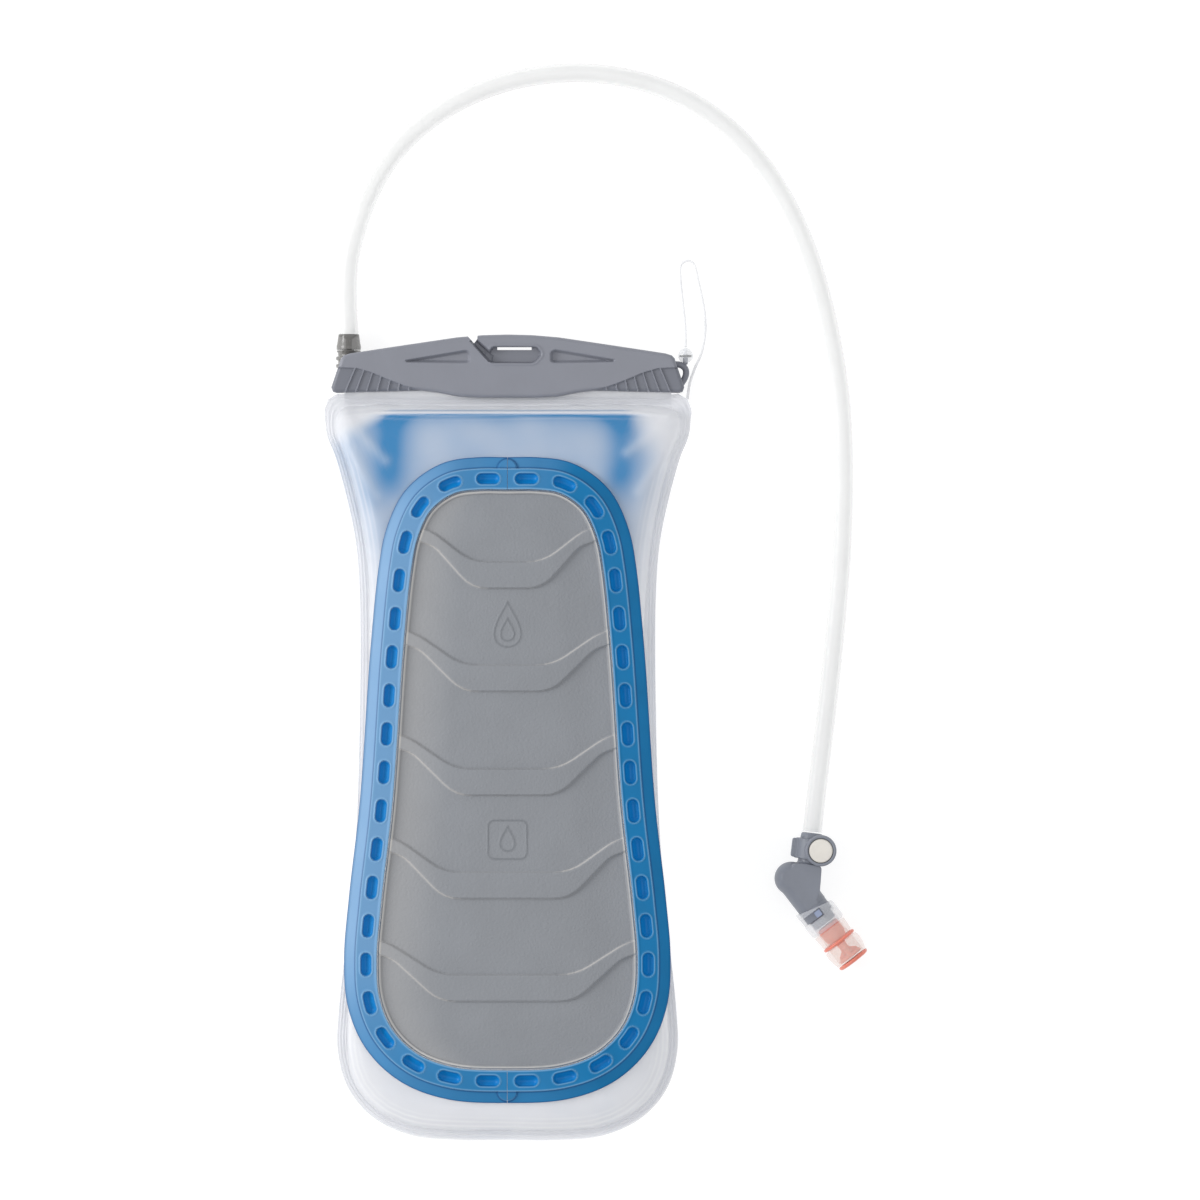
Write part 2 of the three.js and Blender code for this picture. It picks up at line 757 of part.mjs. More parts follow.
// ---- Drinking hose and bite valve ---------------------------------------------------
const hoseRoute = [
  [-78.4, 196.5, 6.5],
  [-78.5, 201, 6.4],
  [-78.9, 209, 6],
  [-79.1, 221.2, 5.2],
  [-77.9, 235.9, HOSE_Z],
  [-74.2, 250.6, HOSE_Z],
  [-68.9, 265.3, HOSE_Z],
  [-61.3, 279.4, HOSE_Z],
  [-51.8, 291.6, HOSE_Z],
  [-39.8, 302.4, HOSE_Z],
  [-23.5, 312.6, HOSE_Z],
  [-3.9, 320.7, HOSE_Z],
  [15.7, 324.9, HOSE_Z],
  [35.3, 326.2, HOSE_Z],
  [54.9, 324.2, HOSE_Z],
  [74.5, 319, HOSE_Z],
  [94.1, 309.5, HOSE_Z],
  [112.2, 295.4, HOSE_Z],
  [125.8, 279.6, HOSE_Z],
  [136.6, 262.4, HOSE_Z],
  [145.4, 243.3, HOSE_Z],
  [152, 223.7, HOSE_Z],
  [157, 204.1, HOSE_Z],
  [160.8, 184.5, HOSE_Z],
  [163.6, 163, HOSE_Z],
  [164.9, 135.5, HOSE_Z],
  [164.6, 106.1, HOSE_Z],
  [163, 76.7, HOSE_Z],
  [160.3, 47.3, HOSE_Z],
  [157.2, 17.9, 5.2],
  [154, -8, 6.8],
  [151.3, -30, 9.2],
  [149.4, -47, 9.7],
];

// The neck and the valve are built along +Y with the elbow's centre at the origin.
function atElbow(geometry, turn) {
  return geometry.rotateZ(turn).translate(ELBOW_X, ELBOW_Y, VALVE_Z);
}

const valveTurn = Math.PI + VALVE_TURN; // from +Y round to the valve's outward direction

function alongNeck(geometry) {
  return geometry.rotateZ(-NECK_TILT).translate(149.35, -47.5, VALVE_Z);
}

function valveElbow() {
  const lobe = solid(new THREE.SphereGeometry(ELBOW_R, 18, 12).translate(ELBOW_X, ELBOW_Y, VALVE_Z));
  const barrel = solid(
    atElbow(
      lathe([[0, 0], [ELBOW_R, 0], [ELBOW_R, 23], [6.2, 23.3], [6.2, 27.5], [0, 27.5]]),
      valveTurn,
    ),
  );
  const neck = solid(
    alongNeck(
      lathe([[0, -26], [5.2, -26], [5.5, -20], [5.5, -1.4], [5, 0], [0, 0]]),
    ),
  );
  const lug = solid(atElbow(box(-1.7, 1.7, 19.4, 22.8, 5, 9), valveTurn));
  return lobe.add(barrel).add(neck).add(lug);
}

// The clear collar that twists to open and shut the valve. Its window clears the lug.
function shutoffCollar() {
  const sleeve = solid(
    atElbow(
      lathe([
        [7.9, 17.8],
        [9.2, 17.8],
        [9.5, 19],
        [9.5, 29],
        [8.4, 30.2],
        [6.7, 30.2],
        [6.7, 24],
        [7.9, 23.6],
        [7.9, 17.8],
      ]),
      valveTurn,
    ),
  );
  const window = solid(
    atElbow(
      new THREE.ExtrudeGeometry(windowSector(), { depth: 4.4, bevelEnabled: false, curveSegments: 10 })
        .rotateX(-Math.PI / 2)
        .translate(0, 18.9, 0),
      valveTurn,
    ),
  );
  return sleeve.subtract(window);
}

// A sector seen along the valve's axis, open for a quarter turn and the lug's width.
function windowSector() {
  const half = 0.34;
  const from = -Math.PI / 2 - half;
  const to = half + 0.02;
  return new THREE.Shape()
    .moveTo(5 * Math.cos(from), 5 * Math.sin(from))
    .absarc(0, 0, 12, from, to)
    .lineTo(5 * Math.cos(to), 5 * Math.sin(to))
    .absarc(0, 0, 5, to, from, true);
}

function biteSleeve() {
  return atElbow(
    lathe([
      [6.3, 30.5],
      [8.1, 30.5],
      [8.3, 36.9],
      [7.7, 37.1],
      [7.7, 39.5],
      [8.4, 39.7],
      [9, 48.2],
      [8.3, 48.8],
      [7.2, 48.8],
      [6.9, 41],
      [6.3, 30.5],
    ]),
    valveTurn,
  );
}

function biteCore() {
  return atElbow(
    lathe([[0, 28], [5.9, 28], [5.9, 36], [3.2, 38], [3.2, 45], [6.4, 47.8], [6.4, 48.6], [0, 48.6]]),
    valveTurn,
  );
}

function biteBand() {
  return atElbow(new THREE.TorusGeometry(8.7, 0.7, 6, 24).rotateX(Math.PI / 2).translate(0, 38.3, 0), valveTurn);
}

function biteTip() {
  return atElbow(
    lathe([[0, 49.1], [8.6, 49.1], [9.2, 49.8], [8.6, 50.8], [4, 51.2], [1.2, 50.4], [0, 50.4]]),
    valveTurn,
  );
}

// ---- Magnet clip --------------------------------------------------------------------
const CLIP_DOWN = -8; // middle of the clip's band, along the neck
const MAGNET_X = 5; // the magnet sits to one side of the neck

function magnetClip() {
  const band = solid(
    alongNeck(
      lathe([[5.9, CLIP_DOWN - 5], [7.4, CLIP_DOWN - 5], [7.4, CLIP_DOWN + 5], [5.9, CLIP_DOWN + 5], [5.9, CLIP_DOWN - 5]], 28),
    ),
  );
  const puck = solid(alongNeck(disc(7.7, 4.5, 11, MAGNET_X, CLIP_DOWN)));
  const pocket = solid(alongNeck(disc(6.1, 7.8, 12, MAGNET_X, CLIP_DOWN)));
  const tab = solid(alongNeck(box(-9.3, -6.2, CLIP_DOWN - 4.6, CLIP_DOWN + 4.6, -3.4, 3.4)));
  const bore = solid(
    alongNeck(new THREE.CylinderGeometry(5.9, 5.9, 30, 28).translate(0, CLIP_DOWN, 0)),
  );
  return band.add(puck).add(tab).subtract(pocket).subtract(bore);
}

function magnet() {
  return alongNeck(disc(5.8, 8.1, 10.8, MAGNET_X, CLIP_DOWN));
}

// ---- Assembly -----------------------------------------------------------------------
const bladder = new THREE.Group();
bladder.name = "hydration_bladder";

const reservoir = new THREE.Group();
reservoir.add(
  named("back_film", backFilm(), frostedFilm),
  named("front_film", frontFilm(), frostedFilm),
  named("bottom_gusset", bottomGusset(), frostedFilm),
  named("mouth_rail_back", mouthRail(1), clearMoulding),
  named("mouth_rail_front", mouthRail(-1), clearMoulding),
  named("port_flange", portFlange(), greyPlastic),
  named("port_elbow", portElbow(), greyPlastic),
  named("port_seal", portSeal(), blackRubber),
  named("lower_hose", hose(lowerRoute, HOSE_R, 36), clearHose),
  named("coupler_socket", couplerSocket(), clearMoulding),
  named("tether_anchor", tetherAnchor(), clearMoulding),
);

const panel = new THREE.Group();
panel.position.z = PANEL_Z;
panel.rotation.x = PANEL_TILT;
panel.add(
  named("back_panel", backPanel(), greyPanel),
  named("frame_left", frameHalf(-1), blueRubber),
  named("frame_right", frameHalf(1), blueRubber),
);

const closure = new THREE.Group();
closure.add(
  named("slider", slider(), greyPlastic),
  named("tether_bead", tetherBead(), clearMoulding),
  named("tether", hose(tetherRoute, TETHER_R, 46), clearHose),
);

const drinkingTube = new THREE.Group();
drinkingTube.add(
  named("coupler_plug", couplerPlug(), smokeGrey),
  named("coupler_seal", couplerSeal(), blackRubber),
  named("drinking_hose", hose(hoseRoute, HOSE_R, 64), clearHose),
  named("valve_elbow", valveElbow(), greyPlastic),
  named("magnet_clip", magnetClip(), greyPlastic),
  named("magnet", magnet(), magnetCover),
  named("shutoff_collar", shutoffCollar(), clearMoulding),
  named("bite_sleeve", biteSleeve(), clearMoulding),
  named("bite_core", biteCore(), redSilicone),
  named("bite_band", biteBand(), redSilicone),
  named("bite_tip", biteTip(), redSilicone),
);

bladder.add(reservoir, panel, closure, drinkingTube);
export default bladder;
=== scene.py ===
"""The looks of the hydration bladder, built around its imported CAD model.

Lengths in this script are millimetres until a mesh is made, which is in metres. The bladder
lies on its front face, with +X across it, +Y towards the closure and +Z out of the panel.
"""

import math

import bmesh
import bpy
import numpy as np
from mathutils import Matrix, Vector, noise


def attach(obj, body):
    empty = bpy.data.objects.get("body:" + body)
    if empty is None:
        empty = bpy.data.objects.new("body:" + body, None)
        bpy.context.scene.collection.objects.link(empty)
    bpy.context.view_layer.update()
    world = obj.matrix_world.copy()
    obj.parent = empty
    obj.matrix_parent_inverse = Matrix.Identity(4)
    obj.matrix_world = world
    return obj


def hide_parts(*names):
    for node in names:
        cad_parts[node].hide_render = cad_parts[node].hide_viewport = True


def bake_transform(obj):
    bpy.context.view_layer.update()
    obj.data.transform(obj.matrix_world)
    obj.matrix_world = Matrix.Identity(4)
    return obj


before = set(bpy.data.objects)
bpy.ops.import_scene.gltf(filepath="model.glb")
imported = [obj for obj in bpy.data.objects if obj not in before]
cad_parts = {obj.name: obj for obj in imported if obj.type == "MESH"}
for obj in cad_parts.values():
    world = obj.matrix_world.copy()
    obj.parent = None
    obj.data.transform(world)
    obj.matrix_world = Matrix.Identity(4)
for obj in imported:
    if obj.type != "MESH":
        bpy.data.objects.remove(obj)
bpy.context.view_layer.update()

# ---- Driving dimensions, as in the CAD part ----
MM = 0.001
FILM = 0.5
WELD_Z, WELD_GAP, WELD_WIDTH, ROOM_AT_WELD = 21.0, 0.15, 4.5, 3.0
PANEL_Z, PANEL_SLOPE = 47.0, 0.03
GUSSET_RISE, GUSSET_DROP = 13.0, 9.0
GUSSET_START_Y, GUSSET_FULL_Y = -40.0, -150.0
FRAME_START, FRAME_BAND, FRAME_WIDTH = 0.3, 10.3, 16.3
FLANGE_FALL, BAND_FILM_FALL = 5.7, 2.2
SLOTS_PER_HALF, SLOT_LENGTH, SLOT_WIDTH, SLOT_LINE = 20, 11.4, 5.4, 5.35
TAB_TOP_Y, TAB_LOW_Y, TAB_R = 131.0, -172.1, 4.7
PANEL_THICK, PANEL_FOOT, PANEL_CROWN, EMBOSS = 1.8, 0.3, 2.2, 1.5
CHEVRON_Y = (78.9, 28.7, -21.8, -72.0, -121.8)
HOSE_R, BORE_R, HOSE_Z = 4.76, 3.18, 4.9
PORT_Y, PORT_CEILING = -140.0, 17.5
COUPLER_X, COUPLER_Z = -78.4, 6.5
VALVE_Z, ELBOW_X, ELBOW_Y, ELBOW_FLAT = 9.7, 139.2, -70.1, 6.9
NECK_X, NECK_Y = 149.35, -47.5
NECK_TILT, VALVE_TURN = math.radians(6.8), math.radians(37.5)
SLIDER_LOW_Z, SLIDER_TOP_Z = 14.0, 28.0
POST_X, TETHER_X, TAB_X = 86.9, 87.0, 86.4

# The right halves of the outlines, from the top of the centre line to its foot.
WELD_RIGHT = [
    (0, 162), (40, 162), (72, 162), (82.5, 159.5), (84.6, 151), (80, 138), (74.5, 118), (70, 96),
    (68, 70), (68, 10), (70, -50), (74.5, -100), (78, -135), (78.5, -152), (74, -169), (63, -182),
    (46, -190), (24, -192.2), (0, -192.2),
]
PANEL_RIGHT = [
    (0, 120.4), (14, 120.4), (26, 118.5), (37, 110.5), (43.5, 97), (46.5, 82), (50.5, 42),
    (55.6, -32), (61, -80), (63.2, -108), (61.8, -127), (55.5, -142), (43.5, -153.5), (26, -160),
    (0, -161.5),
]

# The routes of the free hoses and cords, as in the CAD part.
HOSE_ROUTE = [
    (-78.4, 196.5, 6.5), (-78.5, 201, 6.4), (-78.9, 209, 6), (-79.1, 221.2, 5.2),
    (-77.9, 235.9, HOSE_Z), (-74.2, 250.6, HOSE_Z), (-68.9, 265.3, HOSE_Z), (-61.3, 279.4, HOSE_Z),
    (-51.8, 291.6, HOSE_Z), (-39.8, 302.4, HOSE_Z), (-23.5, 312.6, HOSE_Z), (-3.9, 320.7, HOSE_Z),
    (15.7, 324.9, HOSE_Z), (35.3, 326.2, HOSE_Z), (54.9, 324.2, HOSE_Z), (74.5, 319, HOSE_Z),
    (94.1, 309.5, HOSE_Z), (112.2, 295.4, HOSE_Z), (125.8, 279.6, HOSE_Z), (136.6, 262.4, HOSE_Z),
    (145.4, 243.3, HOSE_Z), (152, 223.7, HOSE_Z), (157, 204.1, HOSE_Z), (160.8, 184.5, HOSE_Z),
    (163.6, 163, HOSE_Z), (164.9, 135.5, HOSE_Z), (164.6, 106.1, HOSE_Z), (163, 76.7, HOSE_Z),
    (160.3, 47.3, HOSE_Z), (157.2, 17.9, 5.2), (154, -8, 6.8), (151.3, -30, 9.2),
    (149.4, -47, 9.7),
]
TETHER_ROUTE = [
    (87, 190.9, 21), (87, 193.6, 20), (87, 198, 14.5), (86.8, 203, 8), (86.4, 208, 3.4),
    (85.8, 213, 1.2), (85.2, 219, 0.75), (84.7, 225, 0.75), (84.5, 229.6, 0.75), (85.4, 232.6, 0.75),
    (88.2, 234, 0.75), (91, 232.6, 0.75), (92.2, 229.6, 0.75), (93.3, 224.6, 0.75), (95, 217, 0.75),
    (96.6, 208, 0.8), (96.9, 199, 2.3), (95, 188.5, 7.2), (91.6, 180.5, 11.2), (89.2, 173.5, 12.6),
    (88, 165.4, 12.6),
]
LOWER_ROUTE = [
    (0, -119.2, HOSE_Z), (0, -100, HOSE_Z), (0, -60, HOSE_Z), (-1, -20, HOSE_Z), (-6, 15, HOSE_Z),
    (-18, 48, HOSE_Z), (-37, 78, HOSE_Z), (-57, 104, HOSE_Z), (-71, 128, HOSE_Z),
    (-77.2, 150, HOSE_Z + 0.2), (COUPLER_X, 166, COUPLER_Z), (COUPLER_X, 175.7, COUPLER_Z),
]
TETHER_R = 0.7
STEPS_BETWEEN_POINTS = 24

# The photograph's camera, which looks straight down, and the light of its room, in metres.
PICTURE_WIDTH, PICTURE_X, PICTURE_Y, PICTURE_Z = 0.588, 0.0451, 0.0669, 0.02
CAMERA_UP, SENSOR = 4.0, 36
WORLD_COLOUR, WORLD_LIGHT = (0.97, 0.98, 1, 1), 0.62
KEY_AT, KEY_WIDTH, KEY_LIGHT = (-2.9, 0.55, 1.55), 1.5, 62
TOP_AT, TOP_WIDTH, TOP_LIGHT = (0.3, 0.2, 2.2), 1.2, 5
FLOOR_HALF, FLOOR_DROP = 4.0, 0.0004


# ---- Curves and distances ----
def catmull_rom(points, closed):
    """Dense points on a centripetal Catmull-Rom curve, as three.js draws it."""
    p = np.asarray(points, float)
    before, after = (p[-1:], p[:2]) if closed else (2 * p[0] - p[1], 2 * p[-1] - p[-2])
    p = np.vstack([before, p, after])
    out = []
    for a, b, c, d in zip(p[:-3], p[1:-2], p[2:-1], p[3:]):
        t1, t2, t3 = np.cumsum([max(np.linalg.norm(q) ** 0.5, 1e-6) for q in (b - a, c - b, d - c)])
        t = np.linspace(t1, t2, STEPS_BETWEEN_POINTS, endpoint=False)[:, None]
        ab = (t1 - t) / t1 * a + t / t1 * b
        bc = (t2 - t) / (t2 - t1) * b + (t - t1) / (t2 - t1) * c
        cd = (t3 - t) / (t3 - t2) * c + (t - t2) / (t3 - t2) * d
        abc = (t2 - t) / t2 * ab + t / t2 * bc
        bcd = (t3 - t) / (t3 - t1) * bc + (t - t1) / (t3 - t1) * cd
        out.append((t2 - t) / (t2 - t1) * abc + (t - t1) / (t2 - t1) * bcd)
    out = np.vstack(out)
    return out if closed else np.vstack([out, p[-2]])


def evenly(points, count, closed):
    """Points spaced evenly by length along a polyline."""
    p = np.vstack([points, points[:1]]) if closed else points
    reach = np.r_[0, np.cumsum(np.linalg.norm(np.diff(p, axis=0), axis=1))]
    at = np.linspace(0, reach[-1], count + 1 if closed else count)
    out = np.column_stack([np.interp(at, reach, p[:, k]) for k in range(p.shape[1])])
    return out[:-1] if closed else out


def mirrored(right_half):
    """The whole outline, from a right half that starts and ends on the centre line."""
    return right_half + [(-x, y) for x, y in right_half[-2:0:-1]]


def smooth_outline(right_half, count):
    return evenly(catmull_rom(mirrored(right_half), closed=True), count, closed=True)


def offset_loop(loop, distance):
    along = np.roll(loop, -1, axis=0) - np.roll(loop, 1, axis=0)
    outwards = np.column_stack([-along[:, 1], along[:, 0]])
    outwards /= np.linalg.norm(outwards, axis=1)[:, None]
    return loop + outwards * np.reshape(distance, (-1, 1))


def smoothstep(x, low, high):
    t = np.clip((np.asarray(x, float) - low) / (high - low), 0, 1)
    return t * t * (3 - 2 * t)


def bell(x, middle, width):
    """A soft peak: 1 at the middle, and about 0 from twice the width on."""
    return np.exp(-(((x - middle) / width) ** 2))


def line_distance(x, y, points):
    """Distance to an open polyline."""
    best = np.full(np.shape(x), 1e9)
    for (x0, y0), (x1, y1) in zip(points[:-1], points[1:]):
        ex, ey = x1 - x0, y1 - y0
        t = np.clip(((x - x0) * ex + (y - y0) * ey) / max(ex * ex + ey * ey, 1e-12), 0, 1)
        best = np.minimum(best, np.hypot(x - x0 - t * ex, y - y0 - t * ey))
    return best


def edge_distance(x, y, polygon):
    """Signed distance to a closed polygon, negative inside."""
    inside = np.zeros(np.shape(x), bool)
    for (x0, y0), (x1, y1) in zip(polygon, np.roll(polygon, -1, axis=0)):
        if y1 != y0:
            inside ^= ((y0 > y) != (y1 > y)) & (x < (x1 - x0) * (y - y0) / (y1 - y0) + x0)
    best = line_distance(x, y, [*polygon, polygon[0]])
    return np.where(inside, -best, best)


def ripple(points, width, seed):
    """Smooth noise from about -1 to 1 at each point, with features of a given width."""
    shift = Vector((seed * 17.3, seed * 5.1, seed * 9.7))
    return np.array([noise.noise(Vector(p) / width + shift) for p in points]) * 1.6


# ---- Mesh helpers ----
def make_object(name, vertices, faces, material, smooth_angle=40):
    mesh = bpy.data.meshes.new(name)
    mesh.from_pydata((np.asarray(vertices, float) * MM).tolist(), [], [list(f) for f in faces])
    mesh.validate()
    piece = bpy.data.objects.new(name, mesh)
    bpy.context.collection.objects.link(piece)
    mesh.materials.append(material)
    outward_faces(mesh)
    soften(piece, smooth_angle)
    return piece


def outward_faces(mesh):
    bm = bmesh.new()
    bm.from_mesh(mesh)
    bmesh.ops.recalc_face_normals(bm, faces=bm.faces)
    bm.to_mesh(mesh)
    bm.free()


def soften(piece, angle=40):
    piece.data.shade_smooth()
    piece.data.set_sharp_from_angle(angle=math.radians(angle))


def grid_faces(rows, columns, close_rows=False, close_columns=False):
    r = np.arange(rows if close_rows else rows - 1)
    c = np.arange(columns if close_columns else columns - 1)
    r, c = np.meshgrid(r, c, indexing="ij")
    r2, c2 = (r + 1) % rows, (c + 1) % columns
    quads = [r * columns + c, r * columns + c2, r2 * columns + c2, r2 * columns + c]
    return np.stack(quads, -1).reshape(-1, 4)


def shell(name, rows, material, close_rows=False, smooth_angle=40):
    """A surface through closed rows of points, capped at both ends unless they close too."""
    rows = np.asarray(rows, float)
    count, columns = rows.shape[:2]
    faces = grid_faces(count, columns, close_rows, close_columns=True).tolist()
    if not close_rows:
        faces.append(list(range(columns)))
        faces.append([(count - 1) * columns + i for i in range(columns)])
    return make_object(name, rows.reshape(-1, 3), faces, material, smooth_angle)


def sweep(path, section):
    """Rows of points: a section of (side, up) pairs carried along a path, with +Z as up."""
    along = np.gradient(path, axis=0)
    along /= np.linalg.norm(along, axis=1)[:, None]
    side = np.cross((0, 0, 1.0), along)
    side /= np.linalg.norm(side, axis=1)[:, None]
    up = np.cross(along, side)
    s, u = np.asarray(section, float).T
    return path[:, None] + side[:, None] * s[None, :, None] + up[:, None] * u[None, :, None]


def circle(radius, sides):
    turn = np.arange(sides) * math.tau / sides
    return np.column_stack([np.cos(turn), np.sin(turn)]) * radius


def pipe(name, path, outer, inner, material, sides):
    """A hose with a real bore."""
    skin, bore = sweep(path, circle(outer, sides)), sweep(path, circle(inner, sides))
    return shell(name, np.concatenate([skin, bore[::-1]]), material, close_rows=True)


def rod_rows(points, count, radius, sides):
    """Rows of points for a round bar along a smooth line."""
    return sweep(evenly(catmull_rom(points, closed=False), count, closed=False), circle(radius, sides))


def turned(name, profile, at, material, sides=64, closed=False):
    """A lathe about +Y from (radius, height) pairs, then put in place."""
    turn = np.arange(sides) * math.tau / sides
    rings = [
        np.column_stack([r * np.cos(turn), np.full(sides, h), r * np.sin(turn)])
        for r, h in profile
    ]
    piece = shell(name, rings, material, close_rows=closed, smooth_angle=35)
    piece.data.transform(at)
    return piece


def moulded(name, profile, radius, at, material, sides=64, closed=False):
    """A lathe with its corners rounded."""
    return turned(name, rounded(profile, radius, closed), at, material, sides, closed)


def rounded(profile, radius, closed=False, steps=4):
    """The profile with its corners rounded by up to a radius."""
    p = [np.array(q, float) for q in profile]
    n = len(p)
    out = []
    for i, corner in enumerate(p):
        if not closed and i in (0, n - 1):
            out.append(corner)
            continue
        back, on = p[i - 1] - corner, p[(i + 1) % n] - corner
        r = min(radius, np.linalg.norm(back) * 0.45, np.linalg.norm(on) * 0.45)
        a = corner + back / np.linalg.norm(back) * r
        b = corner + on / np.linalg.norm(on) * r
        for t in np.linspace(0, 1, steps):
            out.append((1 - t) ** 2 * a + 2 * t * (1 - t) * corner + t * t * b)
    return out


def prism_object(name, outline, low, high, material=None):
    n = len(outline)
    vertices = [(x, y, z) for z in (low, high) for x, y in outline]
    faces = [[i, (i + 1) % n, n + (i + 1) % n, n + i] for i in range(n)]
    return make_object(name, vertices, [*faces, range(n)[::-1], range(n, 2 * n)], material)


def box_object(name, low, high):
    (x0, y0, z0), (x1, y1, z1) = low, high
    return prism_object(name, [(x0, y0), (x1, y0), (x1, y1), (x0, y1)], z0, z1)


def apply_modifiers(piece):
    ready = piece.evaluated_get(bpy.context.evaluated_depsgraph_get())
    mesh = bpy.data.meshes.new_from_object(ready)
    old = piece.data
    piece.modifiers.clear()
    piece.data = mesh
    bpy.data.meshes.remove(old)


def cut_out(piece, cutters):
    """Takes each cutter's shape out of the piece, and uses the cutter up."""
    for cutter in cutters:
        cut = piece.modifiers.new("cut", "BOOLEAN")
        cut.operation, cut.object, cut.solver = "DIFFERENCE", cutter, "EXACT"
        apply_modifiers(piece)
        bpy.data.objects.remove(cutter)
    soften(piece)


def melt(piece, voxel, smoothing=4):
    """Joins what overlaps in a piece into one skin with soft inner corners, as a moulding has."""
    remesh = piece.modifiers.new("melt", "REMESH")
    remesh.mode, remesh.voxel_size = "VOXEL", voxel * MM
    smooth = piece.modifiers.new("smooth", "SMOOTH")
    smooth.factor, smooth.iterations = 0.5, smoothing
    apply_modifiers(piece)
    piece.data.shade_smooth()


def recoat(piece, look):
    piece.data.materials.clear()
    piece.data.materials.append(look)


def place(x, y, z, turn=0, axis="Z"):
    return Matrix.Translation(Vector((x, y, z)) * MM) @ Matrix.Rotation(turn, 4, axis)


AT_ORIGIN = Matrix.Identity(4)
AT_VALVE = place(ELBOW_X, ELBOW_Y, VALVE_Z, math.pi + VALVE_TURN)
AT_NECK = place(NECK_X, NECK_Y, VALVE_Z, -NECK_TILT)
AT_COUPLER = place(COUPLER_X, 0, COUPLER_Z)
# The puck's axis on the clip, pointing up, in the neck's own frame.
ON_CLIP = place(5, -8, 0, math.pi / 2, "X")
AT_PORT = place(0, PORT_Y, 0, math.pi / 2, "X")


# ---- Materials ----
# The colour sockets of a Mix node, which share their names with its number sockets.
MIX_FROM, MIX_TO, MIX_RESULT = 6, 7, 2


def srgb(*colour):
    return tuple(((c / 255 + 0.055) / 1.055) ** 2.4 if c > 10 else c / 3294.6 for c in colour)


def finish_of(name, colour, roughness, grain, bump, patch, mottle=0.05, **sockets):
    """A surface with a fine grain and slow changes in colour and roughness; sizes are in mm."""
    made = bpy.data.materials.new(name)
    made.use_nodes = True
    tree, shader = made.node_tree, made.node_tree.nodes["Principled BSDF"]
    place_of = tree.nodes.new("ShaderNodeTexCoord").outputs["Object"]
    fine = noise_node(tree, place_of, grain, 3)
    slow = noise_node(tree, place_of, patch, 4)
    base = srgb(*colour)
    light = tuple(min(1, c * (1 + mottle)) for c in base)
    dark = tuple(c * (1 - mottle) for c in base)
    shade = ramp_node(tree, slow, 0.35, 0.65, (*dark, 1), (*light, 1))
    tree.links.new(shade, shader.inputs["Base Color"])
    rough = range_node(tree, slow, 0.3, 0.7, roughness * 0.88, min(1, roughness * 1.12))
    tree.links.new(rough, shader.inputs["Roughness"])
    dent = tree.nodes.new("ShaderNodeBump")
    dent.inputs["Strength"].default_value = bump
    dent.inputs["Distance"].default_value = grain * MM * 0.25
    tree.links.new(fine, dent.inputs["Height"])
    tree.links.new(dent.outputs["Normal"], shader.inputs["Normal"])
    for socket, value in sockets.items():
        shader.inputs[socket.replace("_", " ")].default_value = value
    return made


def noise_node(tree, vector, width, detail):
    node = tree.nodes.new("ShaderNodeTexNoise")
    node.inputs["Scale"].default_value = 1 / (width * MM)
    node.inputs["Detail"].default_value = detail
    tree.links.new(vector, node.inputs["Vector"])
    return node.outputs["Fac"]


def ramp_node(tree, value, low, high, low_colour, high_colour):
    node = tree.nodes.new("ShaderNodeValToRGB")
    start, end = node.color_ramp.elements
    start.position, end.position = low, high
    start.color, end.color = low_colour, high_colour
    tree.links.new(value, node.inputs["Fac"])
    return node.outputs["Color"]


def range_node(tree, value, low, high, to_low, to_high):
    node = tree.nodes.new("ShaderNodeMapRange")
    numbers = {"From Min": low, "From Max": high, "To Min": to_low, "To Max": to_high}
    for socket, number in numbers.items():
        node.inputs[socket].default_value = number
    tree.links.new(value, node.inputs["Value"])
    return node.outputs["Result"]


def painted(made, attribute, colour, strength, alpha=None):
    """Blends a second colour into a finish where a piece's attribute says so, and its alpha too."""
    tree, shader = made.node_tree, made.node_tree.nodes["Principled BSDF"]
    mask = tree.nodes.new("ShaderNodeAttribute")
    mask.attribute_name = attribute
    amount = range_node(tree, mask.outputs["Fac"], 0, 1, 0, strength)
    mix = tree.nodes.new("ShaderNodeMix")
    mix.data_type = "RGBA"
    old = shader.inputs["Base Color"].links[0].from_socket
    tree.links.new(amount, mix.inputs["Factor"])
    tree.links.new(old, mix.inputs[MIX_FROM])
    mix.inputs[MIX_TO].default_value = (*srgb(*colour), 1)
    tree.links.new(mix.outputs[MIX_RESULT], shader.inputs["Base Color"])
    if alpha is not None:
        start = shader.inputs["Alpha"].default_value
        seen = range_node(tree, mask.outputs["Fac"], 0, 1, start, alpha)
        tree.links.new(seen, shader.inputs["Alpha"])


def paint(piece, attribute, values):
    """Gives each vertex a value. The vertices past the last value stay at 0."""
    values = np.asarray(values, np.float32).ravel()
    rest = np.zeros(len(piece.data.vertices) - len(values), np.float32)
    layer = piece.data.attributes.new(attribute, "FLOAT", "POINT")
    layer.data.foreach_set("value", np.concatenate([values, rest]))


FILM_LOOK = finish_of(
    "film", (243, 244, 248), 0.36, grain=2.2, bump=0.10, mottle=0.015, patch=30, Alpha=0.38, IOR=1.45,
)
painted(FILM_LOOK, "tint", (14, 126, 186), 1.0, alpha=0.9)
# Painted highlight on the ear folds' ridges, and pale lines that follow the weld.
painted(FILM_LOOK, "ridge_highlight_and_lines", (255, 255, 255), 0.9)
PANEL_LOOK = finish_of("panel", (143, 146, 151), 0.6, grain=1.2, bump=0.9, mottle=0.03, patch=20)
# Painted highlight: a pale beige on the rim line and the ribs' slopes, most where they face the key
# light at the left, and over the panel's left side.
painted(PANEL_LOOK, "edge", (228, 222, 214), 0.8)
painted(PANEL_LOOK, "emblem", (112, 115, 120), 0.7)
FRAME_LOOK = finish_of(
    "frame", (2, 120, 178), 0.42, grain=0.7, bump=0.15, mottle=0.05, patch=18, Specular_IOR_Level=0.25,
)
